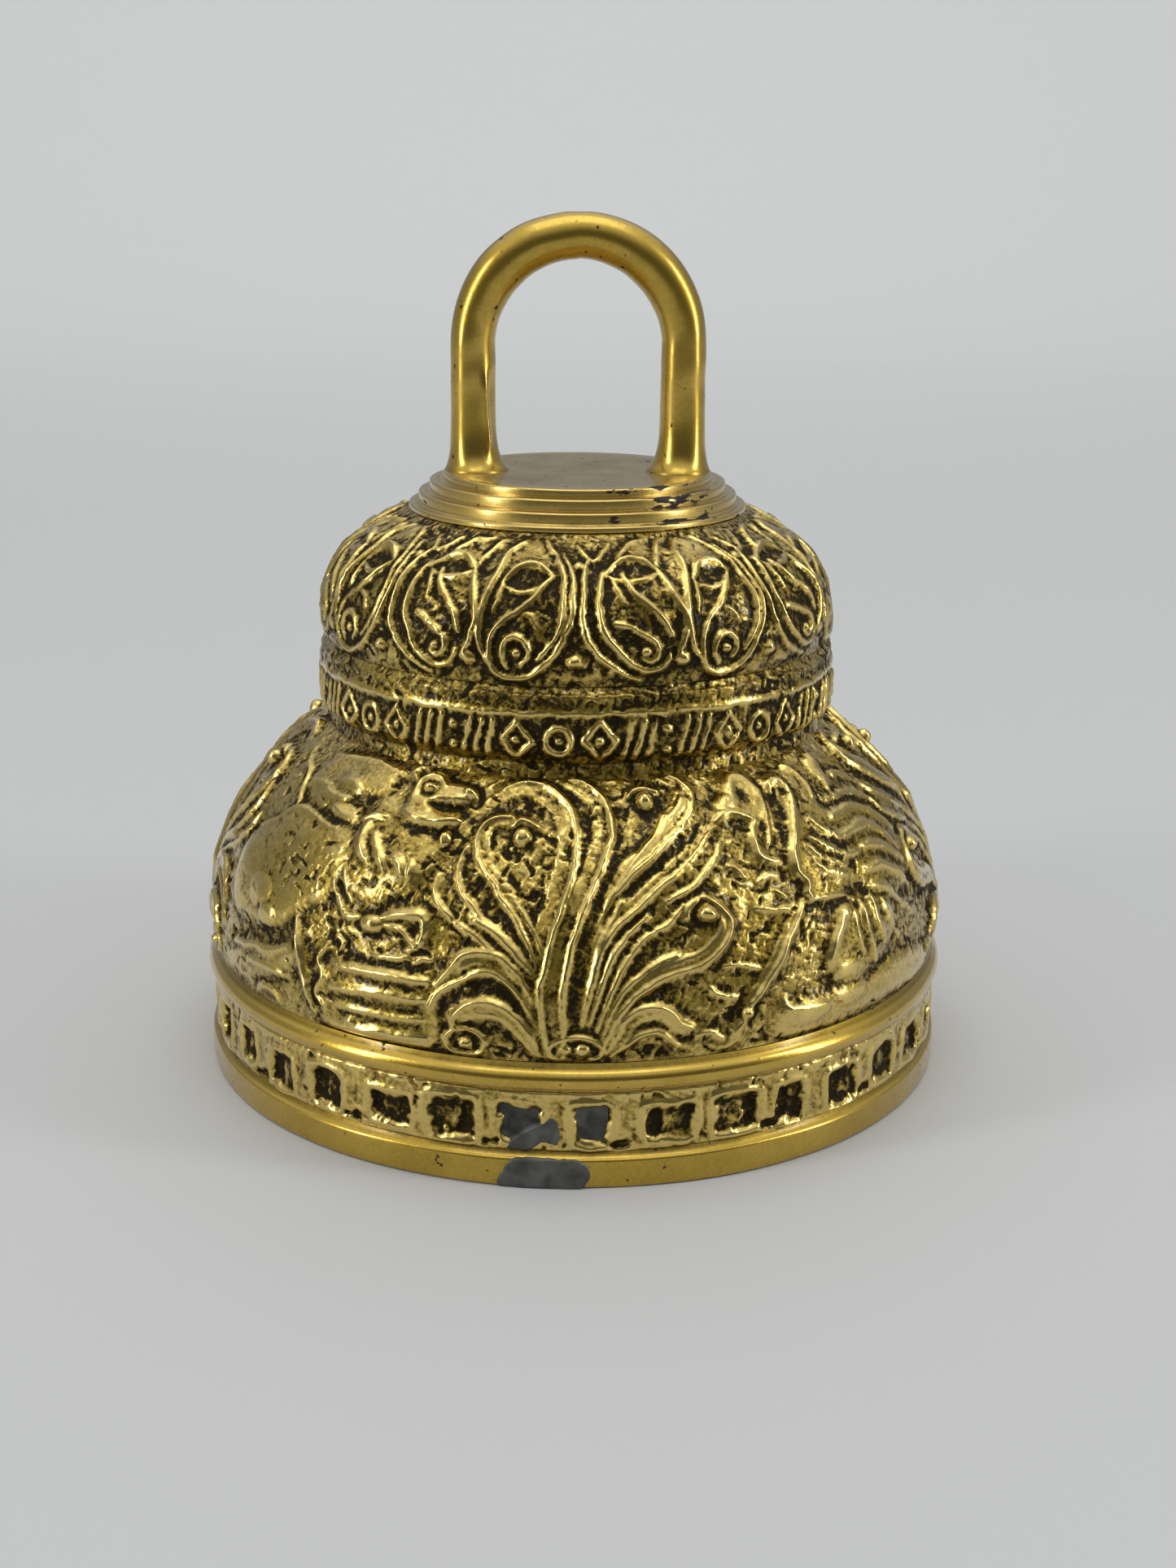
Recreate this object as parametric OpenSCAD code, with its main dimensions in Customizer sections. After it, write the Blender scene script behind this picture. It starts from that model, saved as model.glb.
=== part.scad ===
// Cast brass altar bell: a two-tier shell, a stepped crown plate with a loop handle, and a clapper
// that hangs from an eye bolt on a closed link. +Z is up the bell's axis, the origin is the middle
// of the mouth, and the loop stands in the XZ plane. Millimetres.

/* [Bell shell] */
// Radius of the mouth over the lip
mouth_r = 62.5; // [60:0.5:66]
// Height of the plain lip
lip_h = 4.8; // [3.5:0.1:6]
// Height of the bead above the frieze, at its middle
bead_z = 17.1; // [16:0.1:18]
// Radius of the skirt's side curve
skirt_r = 41.5; // [40.5:0.1:42.5]
// Height where the skirt's side is upright
skirt_z = 22; // [20:0.5:24]
// Radius of the name band round the neck
band_r = 42.4; // [41:0.1:43]
// Height where the name band starts
band_z = 61; // [60:0.5:62]
// Radius of the dome's side curve
dome_r = 15; // [14:0.1:15.4]
// Height where the dome's side is upright
dome_z = 75; // [74:0.5:76]
// Thickness of the cast wall
wall = 4.2; // [3.4:0.1:5]

/* [Crown plate and loop] */
// Height of the seat that the crown plate stands on
crown_z = 92.1; // [91:0.1:93]
// Radius of the crown plate's lowest step
plate_r = 27.6; // [26:0.1:28]
// Radius of the crown plate's top
plate_top_r = 22; // [21.8:0.1:22.4]
// Height of the crown plate over its seat
plate_h = 5.9; // [5.5:0.1:7]
// Distance between the middles of the loop's legs
loop_span = 34; // [33:0.5:34.5]
// Thickness of the loop
loop_d = 7; // [6:0.1:8]
// Height of the whole bell
total_h = 138.7; // [130:0.1:145]

/* [Clapper and hanger] */
// Thickness of the eye bolt's wire
eye_d = 3; // [2.6:0.1:3.2]
// Radius of the eye bolt's eye, to the middle of its wire
eye_r = 4; // [3.9:0.1:4.2]
// Thickness of the link's wire
link_d = 2.8; // [2.4:0.1:3]
// Radius of the link, to the middle of its wire
link_r = 4.8; // [4.7:0.1:5]
// Radius of the clapper's ball
ball_r = 13; // [10:0.5:14]
// Gap between the ball and the surface that the bell stands on
ball_gap = 3; // [2:0.5:6]

/* [Hidden] */
$fn = 96;

play = 0.03;            // radial play of a pin or spigot in its hole
hang_gap = 0.1;         // gap between wires that hang in each other

// shell
lip_edge = 0.6;         // rounding of the lip
frieze_r = mouth_r - 1.2;
bead_r = 1.9;
skirt_mid = mouth_r - 1.3 - skirt_r;   // the skirt curve's centre, from the axis
skirt_end = 59;         // where the skirt's curve stops, in degrees
band_h = 9.6;
dome_mid = 41.8 - dome_r;              // the dome curve's centre, from the axis
dome_end = 59;          // where the dome's curve turns into its cone, in degrees
ceiling_z = crown_z - 4.1;
sound_bow = 1.0;        // how much thicker the wall is where the clapper strikes
seat_r = 9;             // the crown plate's spigot
seat_h = 2.6;

// crown plate
step_r = [plate_r, plate_r - 1.6, plate_r - 3.4, plate_top_r];
step_z = [0, 1.0, 2.8, 4.6, plate_h];
step_edge = 0.35;
plate_top = crown_z + plate_h;

// loop
loop_r = loop_span / 2;
arch_z = total_h - loop_r - loop_d / 2;
foot_h = 3.2;
foot_r = plate_top_r - loop_r - 0.3;
tenon_r = 2.6;
tenon_h = 3.8;

// hanger
bolt_r = 3;
washer_r = 8;
washer_h = 1.2;
collar_r = 5;
collar_h = 1.5;
collar_z = ceiling_z - washer_h - collar_h;
eye_z = collar_z + 0.4 - eye_r - eye_d / 2;
link_top = eye_z - eye_r + eye_d / 2 + link_d / 2 + hang_gap;
link_z = link_top - link_r;
pivot_z = link_top - 2 * link_r;

// clapper
shank_eye_r = 4;
shank_eye_d = 2.8;
shank_eye_z = pivot_z + link_d / 2 + shank_eye_d / 2 + hang_gap - shank_eye_r;
ball_z = ball_r + ball_gap;
ball_bore = 16;         // depth of the ball's threaded hole
nut_flat = 10;
nut_h = 4;
nut_z = ball_z + sqrt(ball_r * ball_r - 36);
shank_top_r = 2.2;
shank_low_r = 3;

// soft-solder repairs in the front of the mouth: from, to (degrees from -Y), low, high
lip_patch = [-10.7, 2.7, 0.7, 4.0];
frieze_patch = [-9.6, 0.2, 6.2, 9.4];
patch_depth = 0.8;
patch_gap = 0.05;       // how much larger the pocket is than its fill, all round

function arc(x, z, r, from, to, n) =
    [for (i = [0:n]) let (a = from + (to - from) * i / n) [x + r * cos(a), z + r * sin(a)]];

// the shell's outside, from the mouth up to the crown plate's seat
outside = concat(
    arc(mouth_r - lip_edge, lip_edge, lip_edge, -90, 0, 4),
    arc(mouth_r - lip_edge, lip_h - lip_edge, lip_edge, 0, 75, 4),
    [[frieze_r, lip_h + 0.9], [frieze_r, bead_z - bead_r - 0.2]],
    arc(frieze_r - 0.5, bead_z, bead_r, -70, 70, 10),
    arc(skirt_mid, skirt_z, skirt_r, -3, skirt_end, 24),
    [[band_r - 1.5, band_z - 1.6]],
    arc(band_r - 0.8, band_z + 0.8, 0.8, -70, 0, 3),
    arc(band_r - 0.6, band_z + band_h - 0.6, 0.6, 0, 80, 3),
    arc(dome_mid, dome_z, dome_r, -14, dome_end, 18),
    [[plate_r, crown_z]]
);

// the shell's inside, from the crown down to the mouth
inside = concat(
    [[dome_mid - 0.5, ceiling_z]],
    arc(dome_mid, dome_z, dome_r - wall, dome_end, 0, 12),
    [[dome_mid + dome_r - wall - 0.3, band_z + 1]],
    arc(skirt_mid, skirt_z, skirt_r - wall, skirt_end, 0, 20),
    [[mouth_r - 1.3 - wall - sound_bow, 14],
     [mouth_r - 1.3 - wall - sound_bow, 7],
     [mouth_r - wall - 1, 0.4],
     [mouth_r - wall - 0.6, 0]]
);

// a strip of the mouth's outer face, for a patch of solder; grow makes it the patch's pocket
module patch(p, outer, grow = 0) {
    turn = grow / outer * 180 / PI;
    inner = outer - patch_depth - grow;
    rotate([0, 0, -90 + p[0] - turn])
        rotate_extrude(angle = p[1] - p[0] + 2 * turn)
            polygon([[inner, p[2] - grow], [outer + grow, p[2] - grow],
                     [outer + grow, p[3] + grow], [inner, p[3] + grow]]);
}

// a ring of round wire in the XZ plane
module wire_ring(ring_r, wire_d) {
    rotate([90, 0, 0])
        rotate_extrude()
            translate([ring_r, 0])
                circle(d = wire_d);
}

module bell_body() {
    color([0.62, 0.47, 0.17])
        difference() {
            rotate_extrude()
                polygon(concat(
                    outside,
                    [[seat_r + play, crown_z], [seat_r + play, crown_z - seat_h],
                     [bolt_r + 0.2, crown_z - seat_h], [bolt_r + 0.2, ceiling_z]],
                    inside
                ));
            patch(lip_patch, mouth_r, patch_gap);
            patch(frieze_patch, frieze_r, patch_gap);
        }
}

module crown_plate() {
    steps = [for (i = [0:3]) each [
        [step_r[i], crown_z + step_z[i] + (i == 0 ? 0 : 0.1)],
        [step_r[i], crown_z + step_z[i + 1] - step_edge],
        [step_r[i] - step_edge, crown_z + step_z[i + 1]]
    ]];
    color([0.72, 0.55, 0.2])
        difference() {
            rotate_extrude()
                polygon(concat(
                    [[bolt_r + play, crown_z - seat_h + play], [seat_r, crown_z - seat_h + play],
                     [seat_r, crown_z]],
                    steps,
                    [[0, plate_top], [0, plate_top - 1.9], [bolt_r + play, plate_top - 1.9]]
                ));
            for (side = [-1, 1])
                translate([side * loop_r, 0, plate_top - tenon_h])
                    cylinder(r = tenon_r + play, h = tenon_h + 1);
        }
}

module loop_handle() {
    leg_r = loop_d / 2;
    color([0.7, 0.53, 0.18]) {
        translate([0, 0, arch_z])
            rotate([90, 0, 0])
                rotate_extrude(angle = 180)
                    translate([loop_r, 0])
                        circle(r = leg_r);
        for (side = [-1, 1])
            translate([side * loop_r, 0, 0]) {
                translate([0, 0, plate_top - tenon_h + play])
                    cylinder(r = tenon_r, h = tenon_h);
                // the foot flares out to the plate in a hollow curve
                rotate_extrude()
                    polygon(concat(
                        [[0, plate_top], [foot_r, plate_top], [foot_r, plate_top + 0.5]],
                        [for (i = [1:8]) let (t = i / 8)
                            [foot_r + (leg_r - foot_r) * (1 - pow(1 - t, 2)), plate_top + 0.5 + (foot_h - 0.5) * t]],
                        [[leg_r, arch_z], [0, arch_z]]
                    ));
            }
    }
}

module crown_washer() {
    color([0.55, 0.53, 0.5])
        translate([0, 0, ceiling_z - washer_h])
            difference() {
                cylinder(r = washer_r, h = washer_h);
                translate([0, 0, -1])
                    cylinder(r = bolt_r + 0.2, h = washer_h + 2);
            }
}

module eye_bolt() {
    color([0.42, 0.4, 0.38]) {
        translate([0, 0, collar_z])
            cylinder(r = bolt_r, h = plate_top - 2.4 - collar_z);
        translate([0, 0, collar_z])
            cylinder(r1 = collar_r - 0.6, r2 = collar_r, h = collar_h);
        translate([0, 0, eye_z])
            wire_ring(eye_r, eye_d);
    }
}

module suspension_link() {
    color([0.45, 0.43, 0.41])
        translate([0, 0, link_z])
            rotate([0, 0, 90])
                wire_ring(link_r, link_d);
}

module clapper_shank() {
    neck_z = shank_eye_z - shank_eye_r;
    thread_z = nut_z + nut_h + 1;
    color([0.4, 0.38, 0.36]) {
        translate([0, 0, shank_eye_z])
            wire_ring(shank_eye_r, shank_eye_d);
        translate([0, 0, thread_z])
            cylinder(r1 = shank_low_r + 0.4, r2 = shank_top_r, h = neck_z - thread_z);
        translate([0, 0, ball_z + ball_r - ball_bore + 0.5])
            cylinder(r = shank_low_r, h = thread_z - ball_z - ball_r + ball_bore - 0.5);
    }
}

module clapper_jam_nut() {
    color([0.5, 0.48, 0.45])
        translate([0, 0, nut_z])
            difference() {
                cylinder(d = nut_flat / cos(30), h = nut_h, $fn = 6);
                translate([0, 0, -1])
                    cylinder(r = shank_low_r + play, h = nut_h + 2);
            }
}

module clapper_ball() {
    color([0.6, 0.45, 0.18])
        difference() {
            translate([0, 0, ball_z])
                sphere(r = ball_r);
            // flat seat for the nut
            translate([0, 0, nut_z])
                cylinder(r = 8, h = ball_r);
            translate([0, 0, ball_z + ball_r - ball_bore])
                cylinder(r = shank_low_r + play, h = ball_r + ball_bore);
        }
}

module lip_repair() {
    color([0.45, 0.45, 0.46])
        patch(lip_patch, mouth_r);
}

module frieze_repair() {
    color([0.45, 0.45, 0.46])
        patch(frieze_patch, frieze_r);
}

bell_body();
crown_plate();
loop_handle();
crown_washer();
eye_bolt();
suspension_link();
clapper_shank();
clapper_jam_nut();
clapper_ball();
lip_repair();
frieze_repair();
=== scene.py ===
import math
import bpy
import numpy as np
from mathutils import Matrix, Vector


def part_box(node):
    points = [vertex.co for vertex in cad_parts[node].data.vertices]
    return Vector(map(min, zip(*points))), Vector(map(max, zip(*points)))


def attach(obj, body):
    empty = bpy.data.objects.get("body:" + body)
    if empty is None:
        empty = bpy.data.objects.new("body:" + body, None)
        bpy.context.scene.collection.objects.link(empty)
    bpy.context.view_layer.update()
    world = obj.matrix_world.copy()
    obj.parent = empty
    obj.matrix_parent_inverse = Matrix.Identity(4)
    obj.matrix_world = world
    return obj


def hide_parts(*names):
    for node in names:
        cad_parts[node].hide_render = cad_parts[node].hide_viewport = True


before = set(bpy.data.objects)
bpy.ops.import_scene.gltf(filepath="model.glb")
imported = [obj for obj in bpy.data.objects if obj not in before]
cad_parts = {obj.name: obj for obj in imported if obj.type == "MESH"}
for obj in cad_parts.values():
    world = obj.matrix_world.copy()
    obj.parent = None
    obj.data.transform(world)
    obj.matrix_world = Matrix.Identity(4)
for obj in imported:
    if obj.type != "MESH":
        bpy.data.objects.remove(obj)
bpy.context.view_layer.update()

mm = 0.001
deg = math.pi / 180

# Main sizes in millimetres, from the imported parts.
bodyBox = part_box("bell_body")
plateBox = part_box("crown_plate")
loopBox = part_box("loop_handle")
mouthR = bodyBox[1].x / mm - 0.2
crownZ = bodyBox[1].z / mm
plateR = plateBox[1].x / mm
plateTop = plateBox[1].z / mm
loopTop = loopBox[1].z / mm
friezeR = mouthR - 1.2


# ---- what every piece uses

def newObject(name, data):
    obj = bpy.data.objects.new(name, data)
    bpy.context.scene.collection.objects.link(obj)
    return obj


def selectOnly(*objects):
    # the last one is the active one
    bpy.ops.object.select_all(action="DESELECT")
    for obj in objects:
        obj.select_set(True)
    bpy.context.view_layer.objects.active = objects[-1]


def readPoints(mesh):
    points = np.zeros(len(mesh.vertices) * 3)
    mesh.vertices.foreach_get("co", points)
    return points.reshape(-1, 3)


def setPatina(mesh, values):
    # 0 is worn bright, 1 is black
    patina = mesh.attributes.get("patina") or mesh.attributes.new("patina", "FLOAT", "POINT")
    patina.data.foreach_set("value", values.astype(np.float32))


def belongs(obj, body, node):
    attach(obj, body)
    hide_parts(node)


def spun(name, profile, steps, merge, closed):
    # a line of (r, z) in metres, spun round the axis; a closed line makes a solid ring
    mesh = bpy.data.meshes.new(name)
    count = len(profile)
    ends = count if closed else count - 1
    mesh.from_pydata([(r, 0, z) for r, z in profile], [(i, (i + 1) % count) for i in range(ends)], [])
    obj = newObject(name, mesh)
    selectOnly(obj)
    bpy.ops.object.mode_set(mode="EDIT")
    bpy.ops.mesh.select_all(action="SELECT")
    bpy.ops.mesh.spin(steps=steps, angle=2 * math.pi, center=(0, 0, 0), axis=(0, 0, 1))
    bpy.ops.mesh.select_all(action="SELECT")
    bpy.ops.mesh.remove_doubles(threshold=merge)
    if closed:
        bpy.ops.mesh.normals_make_consistent(inside=False)
    bpy.ops.object.mode_set(mode="OBJECT")
    return obj


# ---- camera, lights and floor

camera = {"height": 146.5, "distance": 345.0, "pitch": 16.5, "yaw": 0.36, "roll": 0.52, "lens": 48.3}


def makeCamera(c):
    data = bpy.data.cameras.new("camera")
    data.lens = c["lens"]
    data.sensor_width = 36
    data.clip_start = 0.01
    data.clip_end = 20
    obj = newObject("camera", data)
    turn = Matrix.Rotation(-c["yaw"] * deg, 4, "Z")
    tip = Matrix.Rotation((90 - c["pitch"]) * deg, 4, "X")
    roll = Matrix.Rotation(c["roll"] * deg, 4, "Z")
    place = Matrix.Translation((0, -c["distance"] * mm, c["height"] * mm))
    obj.matrix_world = place @ turn @ tip @ roll
    bpy.context.scene.camera = obj


makeCamera(camera)
print("camera set")

studio = {
    "floorColor": (0.525, 0.53, 0.53),
    "flatR": 1.3,       # the floor is flat to here, in metres
    "bendR": 1.0,       # and then bends up into a wall
    "wall": 0.5,
    "worldColor": (0.96, 0.975, 0.985),
    "worldStrength": 0.5,
    "behindCamera": 0.2,       # how bright the room is on the camera's side
    "ceiling": 1.25,
}


def makeSweep(name, profile, mat):
    obj = spun(name, profile, 96, 1e-5, False)
    bpy.ops.object.shade_smooth()
    obj.data.materials.append(mat)
    return obj


def makeStage(s):
    mat = bpy.data.materials.new("paperSweep")
    mat.use_nodes = True
    shader = mat.node_tree.nodes["Principled BSDF"]
    shader.inputs["Base Color"].default_value = (*s["floorColor"], 1)
    shader.inputs["Roughness"].default_value = 0.6
    shader.inputs["Specular IOR Level"].default_value = 0.25
    makeSweep("floor", [(s["flatR"] * t / 6, 0) for t in range(7)], mat)
    angles = [i / 32 * math.pi for i in range(17)]
    bend = [(s["flatR"] + s["bendR"] * math.sin(a), s["bendR"] * (1 - math.cos(a))) for a in angles]
    wall = makeSweep("wall", bend + [(s["flatR"] + s["bendR"], s["bendR"] + s["wall"])], mat)
    wall.visible_glossy = False             # the metal mirrors the room instead


def makeLight(name, at, aim, size, power, color=(1, 1, 1), seen=True):
    data = bpy.data.lights.new(name, "AREA")
    data.shape = "RECTANGLE"
    data.size, data.size_y = size
    data.energy = power
    data.color = color
    obj = newObject(name, data)
    obj.location = at
    obj.rotation_euler = (Vector(aim) - Vector(at)).to_track_quat("-Z", "Y").to_euler()
    obj.visible_camera = False
    obj.visible_glossy = seen


def makeWorld(s):
    world = bpy.data.worlds.new("world")
    bpy.context.scene.world = world
    world.use_nodes = True
    tree = world.node_tree
    back = tree.nodes["Background"]
    back.inputs["Color"].default_value = (*s["worldColor"], 1)
    look = tree.nodes.new("ShaderNodeTexCoord")
    part = tree.nodes.new("ShaderNodeSeparateXYZ")
    tree.links.new(look.outputs["Generated"], part.inputs[0])

    def slope(socket, low, high, dark, bright):
        made = tree.nodes.new("ShaderNodeMapRange")
        made.interpolation_type = "SMOOTHSTEP"
        tree.links.new(socket, made.inputs["Value"])
        for key, value in zip(("From Min", "From Max", "To Min", "To Max"), (low, high, dark, bright)):
            made.inputs[key].default_value = value
        return made.outputs["Result"]

    side = slope(part.outputs[1], -0.85, 0.1, s["behindCamera"], 0.62)
    top = slope(part.outputs[2], 0.35, 0.85, 0.0, s["ceiling"])
    total = tree.nodes.new("ShaderNodeMath")
    tree.links.new(side, total.inputs[0])
    tree.links.new(top, total.inputs[1])
    scaled = tree.nodes.new("ShaderNodeMath")
    scaled.operation = "MULTIPLY"
    scaled.inputs[1].default_value = s["worldStrength"]
    tree.links.new(total.outputs[0], scaled.inputs[0])
    tree.links.new(scaled.outputs[0], back.inputs["Strength"])


makeStage(studio)
makeWorld(studio)
makeLight("overhead", (0.0, -0.1, 1.3), (0, -0.05, 0), (1.0, 0.9), 3.9, (1.0, 0.985, 0.96))
makeLight("leftStrip", (-0.85, -0.40, 0.40), (0, 0, 0.10), (0.16, 0.7), 2.9)
makeLight("rightStrip", (0.85, -0.22, 0.40), (0, 0, 0.10), (0.16, 0.7), 2.6)
makeLight("backWash", (0.0, 1.3, 1.6), (0, 2.5, 0.45), (2.6, 1.0), 20, seen=False)
bpy.context.scene.view_settings.view_transform = "Standard"
bpy.context.scene.view_settings.look = "None"
bpy.context.scene.view_settings.exposure = 0.0
print("studio lit")


# ---- relief: a sheet is a ring of the shell's surface, unrolled. Angles are in degrees from the
# front, to the right, and up is the distance in millimetres from the ring's lower edge.

def arcPoints(x, z, r, start, end, count):
    return [(x + r * math.cos((start + (end - start) * i / count) * deg),
             z + r * math.sin((start + (end - start) * i / count) * deg)) for i in range(count + 1)]


def newSheet(profile, spacing):
    p = np.array(profile, float)
    along = np.concatenate([[0], np.cumsum(np.hypot(*np.diff(p, axis=0).T))])
    rows = max(3, int(round(along[-1] / spacing)) + 1)
    up = np.linspace(0, along[-1], rows)
    radius = np.interp(up, along, p[:, 0])
    z = np.interp(up, along, p[:, 1])
    columns = int(round(2 * math.pi * radius.max() / spacing / 8)) * 8
    slopeR, slopeZ = np.gradient(radius, up), np.gradient(z, up)
    size = np.hypot(slopeR, slopeZ)
    return {
        "up": up, "radius": radius, "z": z,
        "outR": slopeZ / size, "outZ": -slopeR / size,
        "columns": columns, "perColumn": 360 / columns,
        "height": np.zeros((rows, columns)),
    }


def curveThrough(points, perDegree, step=0.7):
    p = np.array(points, float)
    q = np.concatenate([2 * p[:1] - p[1:2], p, 2 * p[-1:] - p[-2:-1]])
    parts = []
    for a, b, c, d in zip(q, q[1:], q[2:], q[3:]):
        count = max(1, int(math.hypot((c[0] - b[0]) * perDegree, c[1] - b[1]) / step))
        t = np.arange(count)[:, None] / count
        parts.append(0.5 * (2 * b + (c - a) * t + (2 * a - 5 * b + 4 * c - d) * t ** 2
                            + (3 * b - a - 3 * c + d) * t ** 3))
    return np.concatenate(parts + [p[-1:]])


def window(sheet, lowAngle, highAngle, lowUp, highUp, reach):
    # rows and columns of the sheet within reach of a box, and where they are
    r0, r1 = np.searchsorted(sheet["up"], [lowUp - reach, highUp + reach])
    if r1 <= r0:
        return None
    scale = sheet["radius"][r0:r1] * deg
    side = reach / scale.min()
    c0 = math.floor((lowAngle - side) / sheet["perColumn"])
    c1 = math.ceil((highAngle + side) / sheet["perColumn"]) + 1
    columns = np.arange(c0, c1)
    return slice(r0, r1), columns % sheet["columns"], columns * sheet["perColumn"], scale[:, None]


def stamp(sheet, layer, rows, columns, value):
    index = np.ix_(range(rows.start, rows.stop), columns)
    sheet[layer][index] = np.maximum(sheet[layer][index], value)


def drawLine(sheet, points, width, height, band=0.0, taper=(0.5, 0.3), layer="lines"):
    # a rounded ridge; band adds a low flat of that width on its left (or right, below 0)
    perDegree = sheet["radius"].mean() * deg
    path = curveThrough(points, perDegree)
    steps = np.hypot(np.diff(path[:, 0]) * perDegree, np.diff(path[:, 1]))
    along = np.concatenate([[0], np.cumsum(steps)]) / steps.sum()
    size = np.minimum(1, np.minimum(taper[0] + (1 - taper[0]) * along / 0.2,
                                    taper[1] + (1 - taper[1]) * (1 - along) / 0.25))
    reach = max(width * 1.1, abs(band) + 0.3)
    for i in range(len(path) - 1):
        a, b = path[i], path[i + 1]
        found = window(sheet, min(a[0], b[0]), max(a[0], b[0]), min(a[1], b[1]), max(a[1], b[1]), reach)
        if found is None:
            continue
        rows, columns, angles, scale = found
        x = (angles[None, :] - a[0]) * scale
        y = (sheet["up"][rows] - a[1])[:, None] + 0 * x
        bx, by = (b[0] - a[0]) * scale, b[1] - a[1]
        long = bx * bx + by * by + 1e-9
        t = np.clip((x * bx + y * by) / long, 0, 1)
        away = np.hypot(x - t * bx, y - t * by)
        s = size[i] + (size[i + 1] - size[i]) * t
        q = away / (width / 2 * s)
        value = (0.5 * np.exp(-(q / 1.25) ** 2) + 0.5 * np.exp(-(1.7 * q) ** 2)) * s ** 0.7
        if band:
            left = (bx * y - by * x) / np.sqrt(long) * math.copysign(1, band)
            wide = abs(band)
            flat = (0.27 + 0.12 * np.exp(-((away - wide * 0.82 * s) / 0.5) ** 2)) * s
            flat = flat * (1 - ramp(away, wide * 0.85 * s, wide * s + 0.25))
            value = np.maximum(value, np.where(left > 0, flat, 0))
        stamp(sheet, layer, rows, columns, value * height)


def fillShape(sheet, outline, height, edge):
    # a raised area inside a closed outline, with a round shoulder that is edge wide
    perDegree = sheet["radius"].mean() * deg
    wrapped = outline[-2:] + outline + outline[:2]
    path = curveThrough(wrapped, perDegree, 1.2)
    first = np.abs(path - np.array(outline[0], float)).sum(1).argmin()
    last = len(path) - 1 - np.abs(path[::-1] - np.array(outline[0], float)).sum(1).argmin()
    path = path[first:last]
    lo, hi = path.min(0), path.max(0)
    found = window(sheet, lo[0], hi[0], lo[1], hi[1], 0.5)
    if found is None:
        return
    rows, columns, angles, scale = found
    up = sheet["up"][rows][:, None] + 0 * angles[None, :]
    angle = angles[None, :] + 0 * up
    inside = np.zeros(angle.shape, bool)
    away = np.full(angle.shape, 1e9)
    for a, b in zip(path, np.roll(path, -1, axis=0)):
        if a[1] != b[1]:
            crosses = (a[1] > up) != (b[1] > up)
            inside ^= crosses & (angle < (b[0] - a[0]) * (up - a[1]) / (b[1] - a[1]) + a[0])
        x, y = (angle - a[0]) * scale, up - a[1]
        bx, by = (b[0] - a[0]) * scale, b[1] - a[1]
        t = np.clip((x * bx + y * by) / (bx * bx + by * by + 1e-9), 0, 1)
        away = np.minimum(away, np.hypot(x - t * bx, y - t * by))
    q = np.clip(away / edge, 0, 1)
    value = np.where(inside, height * np.sqrt(np.clip(1 - (1 - q) ** 2, 0, 1)), 0)
    stamp(sheet, "mass", rows, columns, value)


def cutBox(sheet, left, right, low, high, depth, ragged):
    # a sunk box with a ragged edge
    found = window(sheet, left, right, low, high, 1.5)
    if found is None:
        return
    rows, columns, angles, scale = found
    x = np.abs(angles[None, :] - (left + right) / 2) * scale - (right - left) / 2 * scale
    y = np.abs(sheet["up"][rows][:, None] - (low + high) / 2) - (high - low) / 2 + 0 * x
    outside = np.hypot(np.clip(x + 0.5, 0, None), np.clip(y + 0.5, 0, None))
    out = outside + np.minimum(np.maximum(x, y) + 0.5, 0) - 0.5
    rough = sheet["ragged"][rows][:, columns]
    value = depth * (1 - ramp(out + ragged * rough, -0.35, 0.3))
    stamp(sheet, "cut", rows, columns, value)


def raiseKnob(sheet, at, size, height, layer="lines"):
    # an oval bump; size is its half width and half height in millimetres
    found = window(sheet, at[0], at[0], at[1], at[1], max(size))
    if found is None:
        return
    rows, columns, angles, scale = found
    x = (angles[None, :] - at[0]) * scale
    y = (sheet["up"][rows] - at[1])[:, None] + 0 * x
    q = np.hypot(x / size[0], y / size[1])
    value = height * np.sqrt(np.clip(1 - q * q, 0, 1))
    stamp(sheet, layer, rows, columns, value)


def grain(sheet, size, seed):
    # smooth random values from -1 to 1 that close round the ring
    rng = np.random.default_rng(seed)
    around = max(8, int(2 * math.pi * sheet["radius"].mean() / size))
    v = (sheet["up"] / size)[:, None]
    u = (np.arange(sheet["columns"]) / sheet["columns"] * around)[None, :]
    turn = u / around * 2 * math.pi
    v, u = (v + 1.5 + 0.42 * np.sin(round(0.27 * around) * turn + 2.1 * v + seed),
            u + 0.42 * np.sin(round(0.19 * around) * turn - 1.7 * v + 2 * seed))
    cells = rng.random((int(v.max()) + 3, around)) * 2 - 1
    v0, u0 = np.floor(v).astype(int), np.floor(u).astype(int)
    fv, fu = v - v0, u - u0
    fv, fu = fv * fv * (3 - 2 * fv), fu * fu * (3 - 2 * fu)
    u0, u1 = u0 % around, (u0 + 1) % around
    low = cells[v0, u0] * (1 - fu) + cells[v0, u1] * fu
    high = cells[v0 + 1, u0] * (1 - fu) + cells[v0 + 1, u1] * fu
    return low * (1 - fv) + high * fv


def blur(sheet, values, size):
    spacing = sheet["up"][1]
    sigma = size / spacing
    reach = max(1, int(2.5 * sigma))
    weights = np.exp(-0.5 * (np.arange(-reach, reach + 1) / sigma) ** 2)
    weights /= weights.sum()
    across = sum(w * np.roll(values, k, axis=1) for k, w in zip(range(-reach, reach + 1), weights))
    padded = np.pad(across, ((reach, reach), (0, 0)), mode="edge")
    rows = len(values)
    return sum(w * padded[k:k + rows] for k, w in enumerate(weights))


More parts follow.
